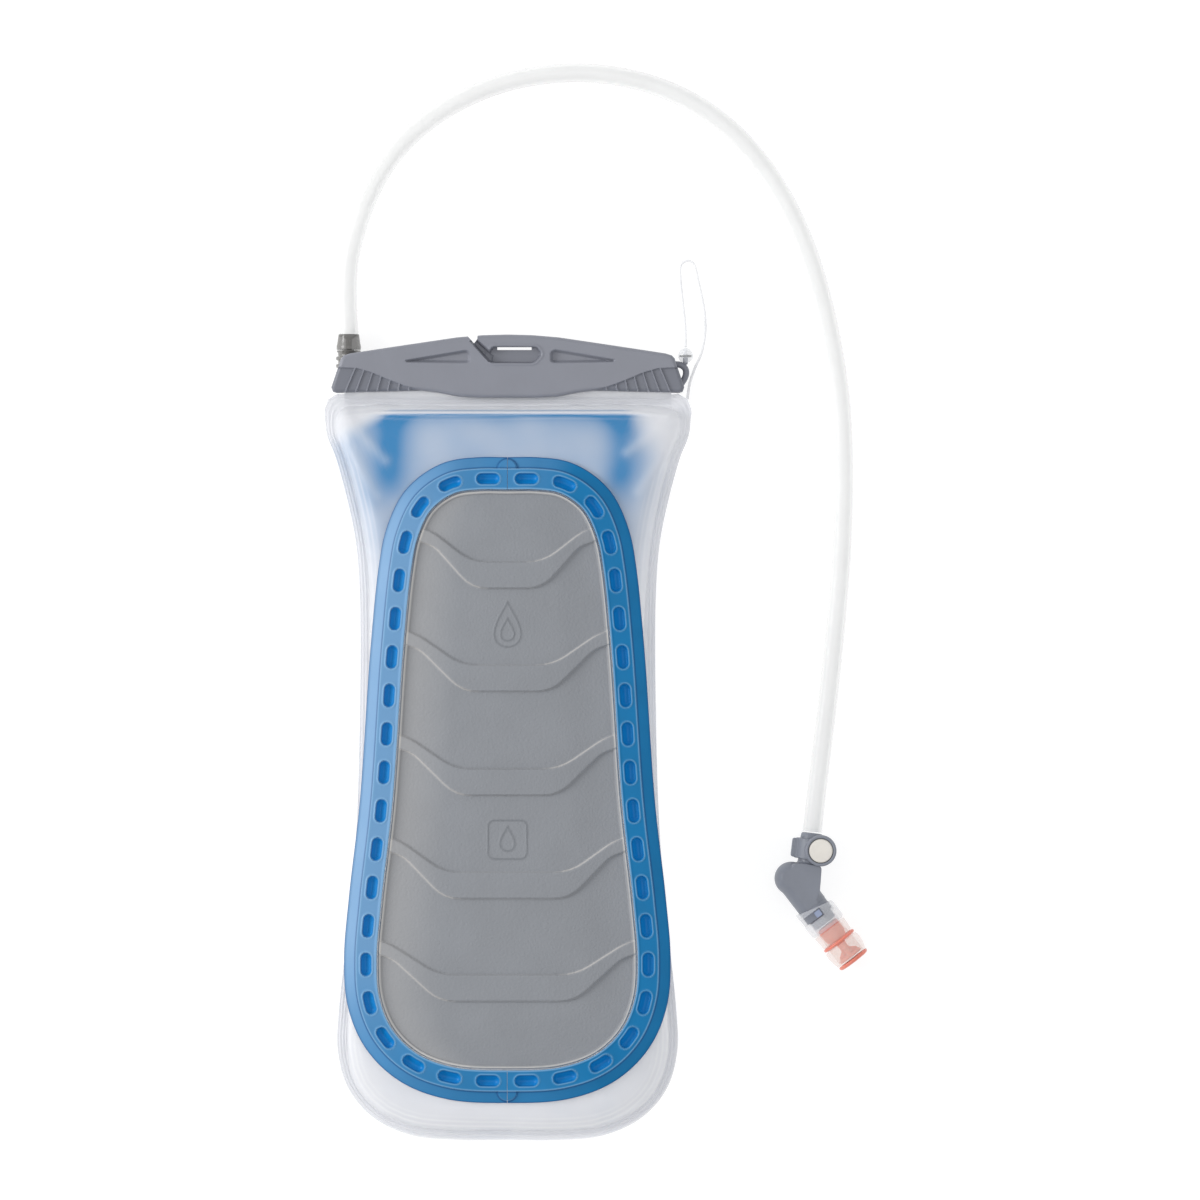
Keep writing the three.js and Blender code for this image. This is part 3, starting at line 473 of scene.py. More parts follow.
# Painted sheen: a paler, greyer blue where the frame turns to the key light at the left.
painted(FRAME_LOOK, "painted_sheen", (124, 164, 202), 0.95)
# Painted light: the slots get a brighter blue, which lifts the shade that falls in them.
painted(FRAME_LOOK, "slot", (6, 134, 206), 0.9)
# Painted highlight: a paler blue along the band's edges and round the slots' lips.
painted(FRAME_LOOK, "edge", (150, 196, 228), 0.7)
# Painted shade: dark blue lines at the foot of the band's step, along the flange's outer edge and round
# the tabs.
painted(FRAME_LOOK, "line", (0, 66, 124), 0.75)
GREY = finish_of("grey_plastic", (138, 140, 149), 0.44, grain=0.6, bump=0.25, mottle=0.03, patch=16)
# Painted shade: a darker grey in the sunk corners (not on their ribs), less in the hang recess, and at
# half strength over the side hook.
painted(GREY, "sunk", (104, 107, 117), 0.6)
SMOKE = finish_of(
    "smoke_plastic", (120, 118, 115), 0.22, grain=0.6, bump=0.08, patch=10, Alpha=0.66, Coat_Weight=0.3,
)
HOSE_LOOK = finish_of(
    "hose_wall", (248, 248, 247), 0.18, grain=1.4, bump=0.05, mottle=0.01, patch=25, Alpha=0.34,
    IOR=1.45,
)
CORD_LOOK = finish_of(
    "clear_cord", (252, 252, 254), 0.3, grain=0.8, bump=0.05, mottle=0.02, patch=9, Alpha=0.6,
)
CLEAR = finish_of(
    "clear_moulding", (240, 242, 246), 0.12, grain=1.1, bump=0.04, mottle=0.02, patch=12, Alpha=0.28,
    IOR=1.49,
)
SLEEVE_LOOK = finish_of(
    "clear_silicone", (252, 238, 228), 0.26, grain=1.1, bump=0.05, mottle=0.02, patch=12, Alpha=0.26,
)
CORAL = finish_of(
    "red_silicone", (240, 140, 120), 0.34, grain=0.8, bump=0.1, mottle=0.04, patch=8,
    Subsurface_Weight=0.2, Subsurface_Scale=0.002,
)
ELBOW_GREY = finish_of("valve_grey", (134, 138, 148), 0.42, grain=0.6, bump=0.15, mottle=0.03, patch=9)
LUG_LOOK = finish_of("valve_lug", (150, 162, 190), 0.3, grain=0.6, bump=0.1, mottle=0.03, patch=5)
CREAM = finish_of("magnet_cover", (236, 231, 222), 0.5, grain=0.5, bump=0.15, mottle=0.03, patch=6)
SEAL = finish_of("seal_rubber", (34, 36, 40), 0.6, grain=0.5, bump=0.2, mottle=0.08, patch=6)
RAIL_LOOK = finish_of("rail", (214, 218, 224), 0.4, grain=0.8, bump=0.12, mottle=0.03, patch=16)
PORT_LOOK = finish_of("port", (150, 154, 160), 0.42, grain=0.7, bump=0.15, mottle=0.04, patch=12)
FLOOR_LOOK = finish_of(
    "floor", (150, 150, 150), 0.9, grain=3, bump=0.02, mottle=0.004, patch=200,
    Emission_Color=(1, 1, 1, 1), Emission_Strength=0.8,
)


# ---- Camera and light ----
def camera():
    lens = bpy.data.cameras.new("camera")
    lens.sensor_width = SENSOR
    lens.lens = SENSOR * CAMERA_UP / PICTURE_WIDTH
    lens.clip_end = 30
    eye = bpy.data.objects.new("camera", lens)
    eye.location = (PICTURE_X, PICTURE_Y, PICTURE_Z + CAMERA_UP)
    bpy.context.collection.objects.link(eye)
    bpy.context.scene.camera = eye


def area_light(name, where, width, power, aim):
    lamp = bpy.data.lights.new(name, "AREA")
    lamp.size, lamp.energy = width, power
    holder = bpy.data.objects.new(name, lamp)
    holder.location = where
    holder.rotation_euler = (Vector(aim) - Vector(where)).to_track_quat("-Z", "Y").to_euler()
    bpy.context.collection.objects.link(holder)


def studio():
    scene = bpy.context.scene
    scene.view_settings.view_transform = "Standard"
    scene.cycles.transparent_max_bounces = 32
    world = bpy.data.worlds.new("studio")
    world.use_nodes = True
    sky = world.node_tree.nodes["Background"].inputs
    sky["Color"].default_value = WORLD_COLOUR
    sky["Strength"].default_value = WORLD_LIGHT
    scene.world = world
    aim = (PICTURE_X - 0.04, PICTURE_Y, 0)
    area_light("key", KEY_AT, KEY_WIDTH, KEY_LIGHT, aim)
    area_light("top", TOP_AT, TOP_WIDTH, TOP_LIGHT, aim)
    floor = bpy.data.meshes.new("floor")
    corners = [(x * FLOOR_HALF, y * FLOOR_HALF, 0) for x, y in ((-1, -1), (1, -1), (1, 1), (-1, 1))]
    floor.from_pydata(corners, [], [(0, 1, 2, 3)])
    floor.materials.append(FLOOR_LOOK)
    ground = bpy.data.objects.new("floor", floor)
    ground.location.z = -FLOOR_DROP
    bpy.context.collection.objects.link(ground)


camera()
studio()


# ---- Hoses and the tether ----
def route(points, step):
    """(evenly spaced points along a hose or cord, its length)."""
    dense = catmull_rom(points, closed=False)
    length = np.linalg.norm(np.diff(dense, axis=0), axis=1).sum()
    return evenly(dense, int(length / step) + 2, closed=False), length


def drinking_hose():
    path, length = route(HOSE_ROUTE, 1.6)
    hose = pipe("hose", path, HOSE_R, BORE_R, HOSE_LOOK, 36)
    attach(hose, "drinking_tube")
    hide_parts("drinking_hose")
    return hose, path, length


def lower_hose():
    path = route(LOWER_ROUTE, 1.8)[0]
    hose = pipe("lower_hose_tube", path, HOSE_R, BORE_R, HOSE_LOOK, 28)
    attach(hose, "reservoir")
    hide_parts("lower_hose")


def tether():
    path, length = route(TETHER_ROUTE, 0.7)
    cord = shell("tether_cord", sweep(path, circle(TETHER_R, 12)), CORD_LOOK)
    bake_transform(cord)
    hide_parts("tether")


HOSE, HOSE_PATH, HOSE_LENGTH = drinking_hose()
lower_hose()
tether()


# ---- Films ----
BAG_POINTS, BORDER_ROWS = 420, 14
WELD = smooth_outline(WELD_RIGHT, BAG_POINTS)
WELD_OUT = offset_loop(WELD, 1) - WELD
EDGE = smooth_outline(PANEL_RIGHT, BAG_POINTS)
# How much further the border reaches at the two upper corners.
EAR_POINT = 3.6 * bell(np.abs(WELD[:, 0]), 81.5, 4.5) * bell(WELD[:, 1], 160, 4.5)
# Soft ridges near the top: (points, height, width).
EAR_FOLDS = [
    ([(-80, 158), (-71, 147), (-60, 135)], 0.5, 2.6),
    ([(-83, 150), (-70, 128), (-64, 118)], 0.35, 2.6),
    ([(80, 158), (68, 146), (58, 139)], 0.5, 2.6),
    ([(83, 150), (72, 131), (64, 120)], 0.35, 2.6),
    ([(-84, 156.6), (-60, 158.9), (0, 158.9), (60, 158.9), (84, 156.6)], 0.8, 0.75),
]
LINING_TOP_Y = 157.2
# How far the blue lining reaches to each side of the middle, by height: (y, left, right).
LINING_REACH = [
    (60, 61, 58), (86, 64, 62), (106, 70, 66), (125, 77, 71), (137, 83, 72), (143, 82, 70),
    (150, 74, 66), (157, 60, 61),
]
# The front film's flat middle: its centre, and its size as a share of the weld's outline.
FLAT_Y, FLAT_WIDE, FLAT_TALL, FLAT_ROWS = -20, 0.64, 0.8, 40


def gusset_share(y):
    """How far the gusset has opened at a place along the bladder, from 0 to 1."""
    return smoothstep(-y, -GUSSET_START_Y, -GUSSET_FULL_Y)


def back_weld_z(y):
    return WELD_Z + GUSSET_RISE * gusset_share(y)


def front_weld_z(y):
    return WELD_Z - GUSSET_DROP * gusset_share(y)


def contour_under_panel(distance):
    """The film's loop at a distance out from the panel's edge, or short of the weld."""
    gap = WELD - EDGE
    far = np.linalg.norm(gap, axis=1)
    reach = np.minimum(distance, far - ROOM_AT_WELD)
    loop = EDGE + gap * (reach / far)[:, None]
    beyond = (FLANGE_FALL - BAND_FILM_FALL) / (FRAME_WIDTH - FRAME_BAND)
    fall = BAND_FILM_FALL * np.minimum(reach / FRAME_BAND, 1)
    fall = fall + beyond * np.maximum(reach - FRAME_BAND, 0)
    return np.column_stack([loop, PANEL_Z - PANEL_SLOPE * loop[:, 1] - fall])


def domed(middle, weld_z, side, steps):
    """Loops from a middle loop out to the weld, on a quarter of an ellipse."""
    rings = []
    for share in np.linspace(0, 1, steps + 1)[1:]:
        turn = share * math.pi / 2
        flat = middle[:, :2] + (WELD - middle[:, :2]) * math.sin(turn)
        top = weld_z + side * (WELD_GAP + FILM)
        z = middle[:, 2] + (top - middle[:, 2]) * (1 - math.cos(turn))
        rings.append(np.column_stack([flat, z]))
    return rings


def weld_border(weld_z, side):
    """The flat welded border, with fine ridges from the welding bars."""
    rings = []
    for out in np.linspace(0, WELD_WIDTH, BORDER_ROWS + 1)[1:]:
        ridge = 0.22 * math.cos(out * math.tau / 1.5)
        z = weld_z + side * (WELD_GAP + FILM + ridge * (out < WELD_WIDTH - 0.4))
        reach = out + EAR_POINT * out / WELD_WIDTH
        rings.append(np.column_stack([WELD + WELD_OUT * reach[:, None], z]))
    return rings


def grid_normals(rows):
    across = np.gradient(rows, axis=0)
    along = np.roll(rows, -1, axis=1) - np.roll(rows, 1, axis=1)
    normal = np.cross(along, across)
    return normal / np.maximum(np.linalg.norm(normal, axis=2), 1e-9)[..., None]


def crumple(rows, side, held):
    """Slow waves over the film and short puckers close to the weld, past the rows held still."""
    flat = rows.reshape(-1, 3)
    shape = rows.shape[:2]
    free = smoothstep(np.arange(len(rows)), held, held + 10)[:, None] * np.ones(shape[1])
    free[-BORDER_ROWS:] = 0.25
    slow = ripple(flat, 34.0, 1).reshape(shape)
    squeezed = flat * np.array([1.0, 0.45, 0.3])
    pucker = ripple(squeezed, 6.5, 2).reshape(shape)
    near_weld = np.exp(-np.abs(np.arange(shape[0])[:, None] - (shape[0] - BORDER_ROWS - 1)) / 7.0)
    move = free * (0.55 * slow + 0.5 * near_weld * pucker)
    return rows + grid_normals(rows) * (side * move)[..., None]


def ear_folds(rows):
    """(rows with soft ridges from the two upper corners and across the top, how high they are)."""
    x, y = rows[..., 0], rows[..., 1]
    lift = np.zeros(x.shape)
    for points, height, width in EAR_FOLDS:
        d = line_distance(x, y, points)
        lift += height * bell(d, 0, width)
    out = rows.copy()
    out[..., 2] += lift * smoothstep(y, 112, 122)
    return out, lift


def film_tint(rows):
    """How strongly the blue lining inside the bag shows through the frosted back film."""
    x, y = rows[..., 0], rows[..., 1]
    at_y, left, right = zip(*LINING_REACH)
    reach = np.where(x < 0, np.interp(y, at_y, left), np.interp(y, at_y, right))
    side = 1 - smoothstep(np.abs(x) - reach, -8, 12)
    core = 0.6 * side * smoothstep(y, 25, 105)
    bands = 0.4 * bell(np.abs(x + 1), 56, 9.5) * smoothstep(y, 105, 132)
    below_line = 0.36 * np.exp(-np.maximum(LINING_TOP_Y - y, 0) / 3.2) * side
    blotch = 0.07 * ripple(rows.reshape(-1, 3), 16.0, 5).reshape(x.shape) * side
    tint = (core + bands * side + below_line + blotch) * (1 - smoothstep(y, LINING_TOP_Y, 158.4))
    upper_line = 0.8 * bell(y, LINING_TOP_Y + 2.3, 0.5)
    main_line = 1.2 * bell(y, LINING_TOP_Y, 0.9)
    across = 1 - smoothstep(np.abs(x - 0.5), 56, 63)
    return np.clip(np.maximum(tint, across * np.maximum(upper_line, main_line)), 0, 1)


def closed_film(name, rows, side):
    """A film with both its faces, closed by a cap across its first row."""
    inner = rows - grid_normals(rows) * side * FILM
    return shell(name, np.concatenate([rows, inner[::-1]]), FILM_LOOK, smooth_angle=60)


def nested_lines(rows):
    """Pale lines that follow the weld, one inside the next, clearest round the base."""
    x, y = rows[..., 0], rows[..., 1]
    out = edge_distance(x, y, WELD[::4])
    wave = 0.5 + 0.5 * np.cos((out - 0.5 * np.sin(x / 17)) * math.tau / 2.3)
    near = smoothstep(out, -9, -4)
    base = smoothstep(-y, 95, 150)
    return wave ** 2 * near * (0.25 + 0.75 * base)


def back_film():
    y = WELD[:, 1]
    middles = [contour_under_panel(d) for d in (0, 5, 9.3, 13, FRAME_WIDTH + 0.4)]
    rings = middles + domed(middles[-1], back_weld_z(y), 1, 50) + weld_border(back_weld_z(y), 1)
    rows, lift = ear_folds(crumple(np.array(rings), 1, held=6))
    film = closed_film("back_skin", rows, 1)
    paint(film, "tint", film_tint(rows))
    # Painted highlight, scaled by the ear folds' height, and pale lines along the weld.
    paint(film, "ridge_highlight_and_lines", np.maximum(0.5 * np.clip(lift, 0, 1), nested_lines(rows)))
    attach(film, "reservoir")
    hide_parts("back_film")


def channel_height(x, y):
    """Height that the front film must clear, over the hose and over the outlet's flange."""
    path = route(LOWER_ROUTE, 6)[0]
    d = line_distance(x, y, path[:, :2])
    over_hose = 10.9 * (1 - smoothstep(d, 5.3, 8.6))
    over_port = (PORT_CEILING + 0.3) * (1 - smoothstep(np.hypot(x, y - PORT_Y), 22.4, 26.5))
    return np.maximum(over_hose, over_port)


def front_film():
    weld_z = front_weld_z(WELD[:, 1])
    centre = np.array([0, FLAT_Y, 0])
    flat = np.column_stack([WELD, 0 * weld_z]) - centre
    flat = centre + flat * (FLAT_WIDE, FLAT_TALL, 1)
    middles = [centre + (flat - centre) * share for share in np.linspace(0.02, 1, FLAT_ROWS)]
    rows = np.array(middles + domed(flat, weld_z, -1, 26) + weld_border(weld_z, -1))
    rows = crumple(rows, -1, held=FLAT_ROWS + 4)
    room = channel_height(rows[..., 0], rows[..., 1])
    rows[..., 2] = np.maximum(rows[..., 2], np.clip(room, 0, 20))
    film = closed_film("front_skin", rows, -1)
    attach(film, "reservoir")
    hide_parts("front_film")


def gusset():
    """The strip that joins the two films at the base, folded in to a soft bulge."""
    spots = np.where(WELD[:, 1] < -70)[0]
    rows = []
    for i in spots:
        top = back_weld_z(WELD[i, 1]) - 0.2
        low = front_weld_z(WELD[i, 1]) + 0.2
        if top - low < 3:
            continue
        wave = 0.5 * math.sin(i * 0.55) * math.sin(i * 0.13)
        section = []
        for t in np.linspace(0, 1, 17):
            out = 0.7 + (WELD_WIDTH - 0.9) * abs(2 * t - 1) ** 5 + wave * math.sin(math.pi * t)
            section.append((out, top + (low - top) * t))
        section += [(out - 0.45, z) for out, z in section[::-1]]
        rows.append([(*(WELD[i] + WELD_OUT[i] * out), z) for out, z in section])
    piece = shell("base_gusset", rows, FILM_LOOK, smooth_angle=60)
    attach(piece, "reservoir")
    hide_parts("bottom_gusset")


def mouth_lips():
    """The two flat strips of film that the rails hold inside the closure."""
    half = FILM / 2
    section = [(-8, -half), (8.2, -half), (8.2, half), (-8, half)]
    for name, side in (("mouth_lip_back", 1), ("mouth_lip_front", -1)):
        z = WELD_Z + side * (WELD_GAP + half)
        path = np.array([(x, 170.8, z) for x in np.linspace(-80, 80, 40)])
        lip = shell(name, sweep(path, section), FILM_LOOK)
        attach(lip, "reservoir")


back_film()
front_film()
gusset()
mouth_lips()


# ---- Back panel and its frame ----
FRAME_POINTS = 1200
FRAME_HALF = slice(FRAME_POINTS // 2 + 1)


def on_panel(points):
    """From the panel's own plane to where it lies on the bladder."""
    turn = -math.atan(PANEL_SLOPE)
    x, y, z = np.moveaxis(np.asarray(points, float), -1, 0)
    raised = PANEL_Z + y * math.sin(turn) + z * math.cos(turn)
    return np.stack([x, y * math.cos(turn) - z * math.sin(turn), raised], -1)


def half_width_at(y, loop):
    right = loop[loop[:, 0] > 0]
    order = np.argsort(right[:, 1])
    return np.interp(y, right[order, 1], right[order, 0])


def chevron_outline(y):
    edge = float(half_width_at(y + 20, EDGE)) + 2
    flat = float(half_width_at(y, EDGE)) - 29.5
    knee = edge - 9
    right = [(0, 6.8), (flat, 6.8), (knee, 21.3), (edge, 24.6)]
    right += [(edge, 16.6), (knee, 14), (flat, -6.8), (0, -6.8)]
    left = [(-x, dy) for x, dy in right[::-1]]
    corners = [(x, y + dy) for x, dy in right[1:-1] + left[1:-1]]
    return np.array(rounded(corners, 8, closed=True, steps=5))


def drop_outline(x, y, tall):
    """A plain water drop, point up."""
    points = []
    for turn in np.linspace(0, math.tau, 40, endpoint=False):
        wide = math.sin(turn) * math.sin(turn / 2) ** 1.5 * 0.42
        points.append((x + wide * tall, y + math.cos(turn) * tall / 2))
    return np.array(points)


def square_outline(x, y, half, radius):
    corners = [(x + a * half, y + b * half) for a, b in ((-1, -1), (1, -1), (1, 1), (-1, 1))]
    return rounded(corners, radius, closed=True, steps=8)


def emblem_lines(x, y):
    """Generic marks in thin raised lines: a drop near the top, and a drop in a square lower down."""
    lines = np.zeros(x.shape)
    outlines = [
        drop_outline(0, 55.0, 22), drop_outline(0, 52.5, 11), drop_outline(0, -49.2, 12),
        square_outline(0, -49.7, 9.4, 3.5),
    ]
    for corners in outlines:
        out = edge_distance(x, y, corners)
        lines = np.maximum(lines, bell(out, 0, 0.42))
    return lines


def panel_grid(inset):
    top_y, low_y = inset[:, 1].max() - 0.02, inset[:, 1].min() + 0.02
    turn = np.linspace(0, 1, 600)
    y = low_y + (top_y - low_y) * (turn - 0.05 * np.sin(math.tau * turn) / math.tau)
    width = half_width_at(y, inset)
    share = np.sin(np.linspace(-math.pi / 2, math.pi / 2, 290) * 0.92) / math.sin(math.pi * 0.46)
    return width[:, None] * share[None], np.repeat(y[:, None], len(share), 1)


def panel():
    """The stiff grey panel: a raised rim, five chevron ribs and two marks, in one moulding."""
    inset = offset_loop(EDGE, -0.3)
    x, y = panel_grid(inset)
    inside = -edge_distance(x, y, inset[::2])
    rim = 1 - smoothstep(inside, 1.4, 2.1)
    raised = np.zeros(x.shape)
    for centre in CHEVRON_Y:
        out = edge_distance(x, y, chevron_outline(centre))
        raised = np.maximum(raised, 1 - smoothstep(out, -0.9, 0.25))
    height = PANEL_THICK + np.maximum(0.8 * rim, EMBOSS * raised)
    height -= 0.5 * (1 - smoothstep(inside, 0, 0.5))
    across = x / half_width_at(y, inset)
    height += PANEL_CROWN * (1 - across ** 2) * smoothstep(inside, 0, 25)
    mark = emblem_lines(x, y)
    height += 0.3 * mark
    top = on_panel(np.stack([x, y, height], -1))
    low = on_panel(np.stack([x, y, np.full(x.shape, PANEL_FOOT)], -1))
    piece = slab("panel", top, low, PANEL_LOOK)
    # Painted highlight: on the rim, on the ribs' slopes (more where they face the key light at the
    # left) and over the left side.
    rim_line = bell(inside, 0.75, 0.5)
    slope = raised * (1 - raised) * 4
    towards_left = np.clip(np.gradient(raised, axis=1) * 6, 0, 1)
    lit_side = 0.2 * smoothstep(-across, 0.45, 1)
    painted_highlight = 0.85 * rim_line + 0.12 * slope + 0.55 * slope * towards_left + lit_side
    paint(piece, "edge", np.clip(painted_highlight, 0, 1))
    paint(piece, "emblem", mark)
    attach(piece, "reservoir")
    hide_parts("back_panel")


def slab(name, top, low, material):
    """A closed piece between two grids of the same shape."""
    rows, columns = top.shape[:2]
    grid = grid_faces(rows, columns)
    faces = np.concatenate([grid, grid[:, ::-1] + rows * columns]).tolist()
    rim = list(range(columns))
    rim += [r * columns + columns - 1 for r in range(1, rows)]
    rim += [(rows - 1) * columns + c for c in range(columns - 2, -1, -1)]
    rim += [r * columns for r in range(rows - 2, 0, -1)]
    shift = rows * columns
    for a, b in zip(rim, rim[1:] + rim[:1]):
        faces.append([a, b, b + shift, a + shift])
    vertices = np.concatenate([top.reshape(-1, 3), low.reshape(-1, 3)])
    return make_object(name, vertices, faces, material, smooth_angle=35)


def slot_distance(fine, band):
    """Distance from each point of a half to the edge of its nearest slot, negative inside."""
    middle = offset_loop(fine, SLOT_LINE)[FRAME_HALF]
    run = np.r_[0, np.cumsum(np.linalg.norm(np.diff(middle, axis=0), axis=1))]
    pitch = run[-1] / SLOTS_PER_HALF
    along = np.abs((run % pitch) - pitch / 2)
    beside = np.maximum(along - (SLOT_LENGTH - SLOT_WIDTH) / 2, 0)[None]
    return np.hypot(beside, band - SLOT_LINE) - SLOT_WIDTH / 2


def tab_distance(x, y):
    """Distance to the edge of the round tab at the frame's top or foot, negative inside."""
    return np.hypot(x, y - np.where(y > 0, TAB_TOP_Y, TAB_LOW_Y)) - TAB_R


def frame_painted_sheen(side, fine):
    """How much painted sheen each place along a half gets: more where it turns to the key light at the
    left, less towards the foot.
    """
    out = offset_loop(fine, 1)[FRAME_HALF] - fine[FRAME_HALF]
    turned_left = np.clip(0.3 - 0.7 * side * out[:, 0], 0, 1)
    return turned_left * (0.4 + 0.6 * smoothstep(fine[FRAME_HALF, 1], -160, -90))


def paint_frame(piece, side, fine, band, pocket, lip, disc):
    """Masks of painted light: brighter slots, highlights on edges and lips, sheen from the left, shade
    lines.
    """
    on_flange = band > FRAME_BAND + 0.2
    rim = bell(band, FRAME_BAND, 0.35) + bell(band, 0.6, 0.4)
    # Painted shade lines: at the foot of the step, at the flange's outer edge, and round the tab on the
    # flange.
    dark = bell(band, 10.9, 0.35) + bell(band, 16.2, 0.35) + bell(disc, 0.3, 0.4) * on_flange
    on_band = smoothstep(-band, -10.5, -10.2)
    # Painted sheen from the key light at the left, kept out of the slots and weaker on the band.
    painted_sheen = frame_painted_sheen(side, fine) * (1 - pocket) * (1 - 0.2 * on_band)
    # Painted light: a brighter blue in the slots against their shade.
    paint(piece, "slot", np.minimum(pocket * 1.6, 1))
    # Painted highlight on the band's edges and the slots' lips.
    paint(piece, "edge", 0.8 * np.clip(rim + 0.8 * lip, 0, 1))
    paint(piece, "painted_sheen", painted_sheen)
    paint(piece, "line", np.clip(dark, 0, 1))


def frame_half(side):
    """Half of the blue frame: a slotted band, and a flange that slopes down outside it."""
    fine = smooth_outline(PANEL_RIGHT, FRAME_POINTS)
    on_band, on_flange = np.linspace(FRAME_START, FRAME_BAND, 40), np.linspace(11, FRAME_WIDTH, 22)
    band = np.concatenate([on_band, [10.45, 10.6], on_flange])[:, None]
    top = np.interp(band, (FRAME_START, FRAME_BAND, 10.45, 10.6, FRAME_WIDTH), (4.2, 2.4, 1.6, 0.1, -4))
    low = np.interp(band, (FRAME_START, FRAME_BAND, FRAME_WIDTH), (0.3, -1.45, -4.75))
    loops = np.array([offset_loop(fine, d)[FRAME_HALF] for d in band])
    x, y = np.maximum(loops[..., 0], 0.12), loops[..., 1]
    slot, disc = slot_distance(fine, band), tab_distance(x, y)
    tab = (1 - smoothstep(disc, -0.5, 0.2)) * (band > FRAME_BAND + 0.2)
    pocket = 0.6 * (1 - smoothstep(slot, -0.6, 0.05)) + 0.4 * (1 - smoothstep(slot, -2.7, 0))
    lip = bell(slot, 0.4, 0.35)
    raised = 0.25 * bell(band, 0.9, 0.5) + 0.35 * lip + 1.3 * tab + 0.3 * bell(band, 15.9, 0.5)
    upper = on_panel(np.stack([side * x, y, top + raised - 3.0 * pocket], -1))
    lower = on_panel(np.stack([side * x, y, np.broadcast_to(low, y.shape)], -1))
    piece = slab("frame_" + ("right" if side > 0 else "left") + "_band", upper, lower, FRAME_LOOK)
    paint_frame(piece, side, fine, band, pocket, lip, disc)
    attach(piece, "reservoir")
    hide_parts("frame_right" if side > 0 else "frame_left")


panel()
frame_half(1)
frame_half(-1)


# ---- Closure ----
SLIDER_TOP = [
    (0, 196.8), (12, 196.5), (25, 195.4), (50, 191.7), (77, 187.6), (80.2, 186.6), (81.6, 185.2),
    (82.3, 183), (86.4, 171),
]
SLIDER_FOOT = [
    (0, 165.9), (14, 165.9), (24, 166.4), (34, 168.4), (42, 169.4), (84, 168.4), (85.6, 168.9),
    (86.4, 171),
]
SLIDER_END, SLIDER_ROUND = 86.3, 1.9
POCKETS = [
    [(-50.5, 184.3), (-20.2, 189.3), (-18.2, 188), (-18.2, 183.4), (-20, 182.7), (-49.5, 183)],
    [(52.5, 184.6), (23, 189.6), (20.8, 188.4), (20.8, 183.4), (22.6, 182.7), (52, 183.2)],
]
HANG_RECESS = [(-10.3, 186.4), (-7.6, 182.9), (13, 182.9), (16.8, 187), (14.4, 190.8), (-7.5, 190.8)]
HANG_GROOVE = [(-18.4, 193.6), (-15.0, 194.2), (-6.6, 186.6), (-7.4, 183), (-9.2, 183.4)]
HANG_NOTCH = [(-22.4, 199), (-14.6, 199), (-14.9, 194.5), (-16.6, 192.6)]
SUNK_CORNER = [
    (-90, 181.2), (-73.5, 180.4), (-66, 178.2), (-58, 174.8), (-50, 171.8), (-41, 169.7),
    (-41, 160), (-90, 160),
]
RIB_PITCH, RIB_COUNT = 5.3, 7


def across_slider(table, x):
    x_at, y_at = zip(*table)
    return np.interp(np.abs(x), x_at, y_at)


def slider_grid():
    turn = np.linspace(-0.45, 0.45, 520) * math.pi
    x = SLIDER_END * np.sin(turn) / math.sin(turn[-1])
    top, foot = across_slider(SLIDER_TOP, x), across_slider(SLIDER_FOOT, x)
    share = np.linspace(0, 1, 120)[:, None]
    return np.broadcast_to(x, (120, len(x))).copy(), foot + (top - foot) * share


def corner_ribs(x, y):
    """Thin slanted ribs that stand in the sunk corners."""
    ribs = np.zeros(x.shape)
    for k in range(RIB_COUNT):
        foot = np.array((-80.6 + k * RIB_PITCH, 166.0))
        lean = 0.42 - 0.05 * k
        tip = foot + np.array((lean * 16, 16.0))
        d = line_distance(-np.abs(x), y, [foot, tip])
        ribs = np.maximum(ribs, 1 - smoothstep(d, 0.22, 0.5))
    return ribs


def slider_relief(x, y):
    """(how deep each point lies below the slider's back face, its painted shade from 0 to 1, most in
    the sunk corners).
    """
    pocket = np.zeros(x.shape)
    for corners in POCKETS:
        inside = edge_distance(x, y, rounded(corners, 1.6, closed=True))
        pocket = np.maximum(pocket, 1 - smoothstep(inside, -1.5, 0.2))
    recess = 1 - smoothstep(edge_distance(x, y, rounded(HANG_RECESS, 1.5, closed=True)), -0.5, 0.1)
    groove = 1 - smoothstep(edge_distance(x, y, HANG_GROOVE), -0.8, 0.3)
    sunk = 1 - smoothstep(edge_distance(-np.abs(x), y, SUNK_CORNER), -0.7, 0.1)
    ribs = corner_ribs(x, y) * sunk
    depth = np.maximum(2.6 * pocket, np.maximum(4.6 * recess, 5.2 * groove))
    rim = 0.35 * ring_of(x, y, HANG_RECESS)
    return depth + 1.1 * sunk - 0.9 * ribs - rim, np.clip(sunk * (1 - ribs) + 0.3 * recess, 0, 1)


def ring_of(x, y, corners):
    """The fine raised line just outside a recess."""
    return bell(edge_distance(x, y, rounded(corners, 1.5, closed=True)), 0.8, 0.5)


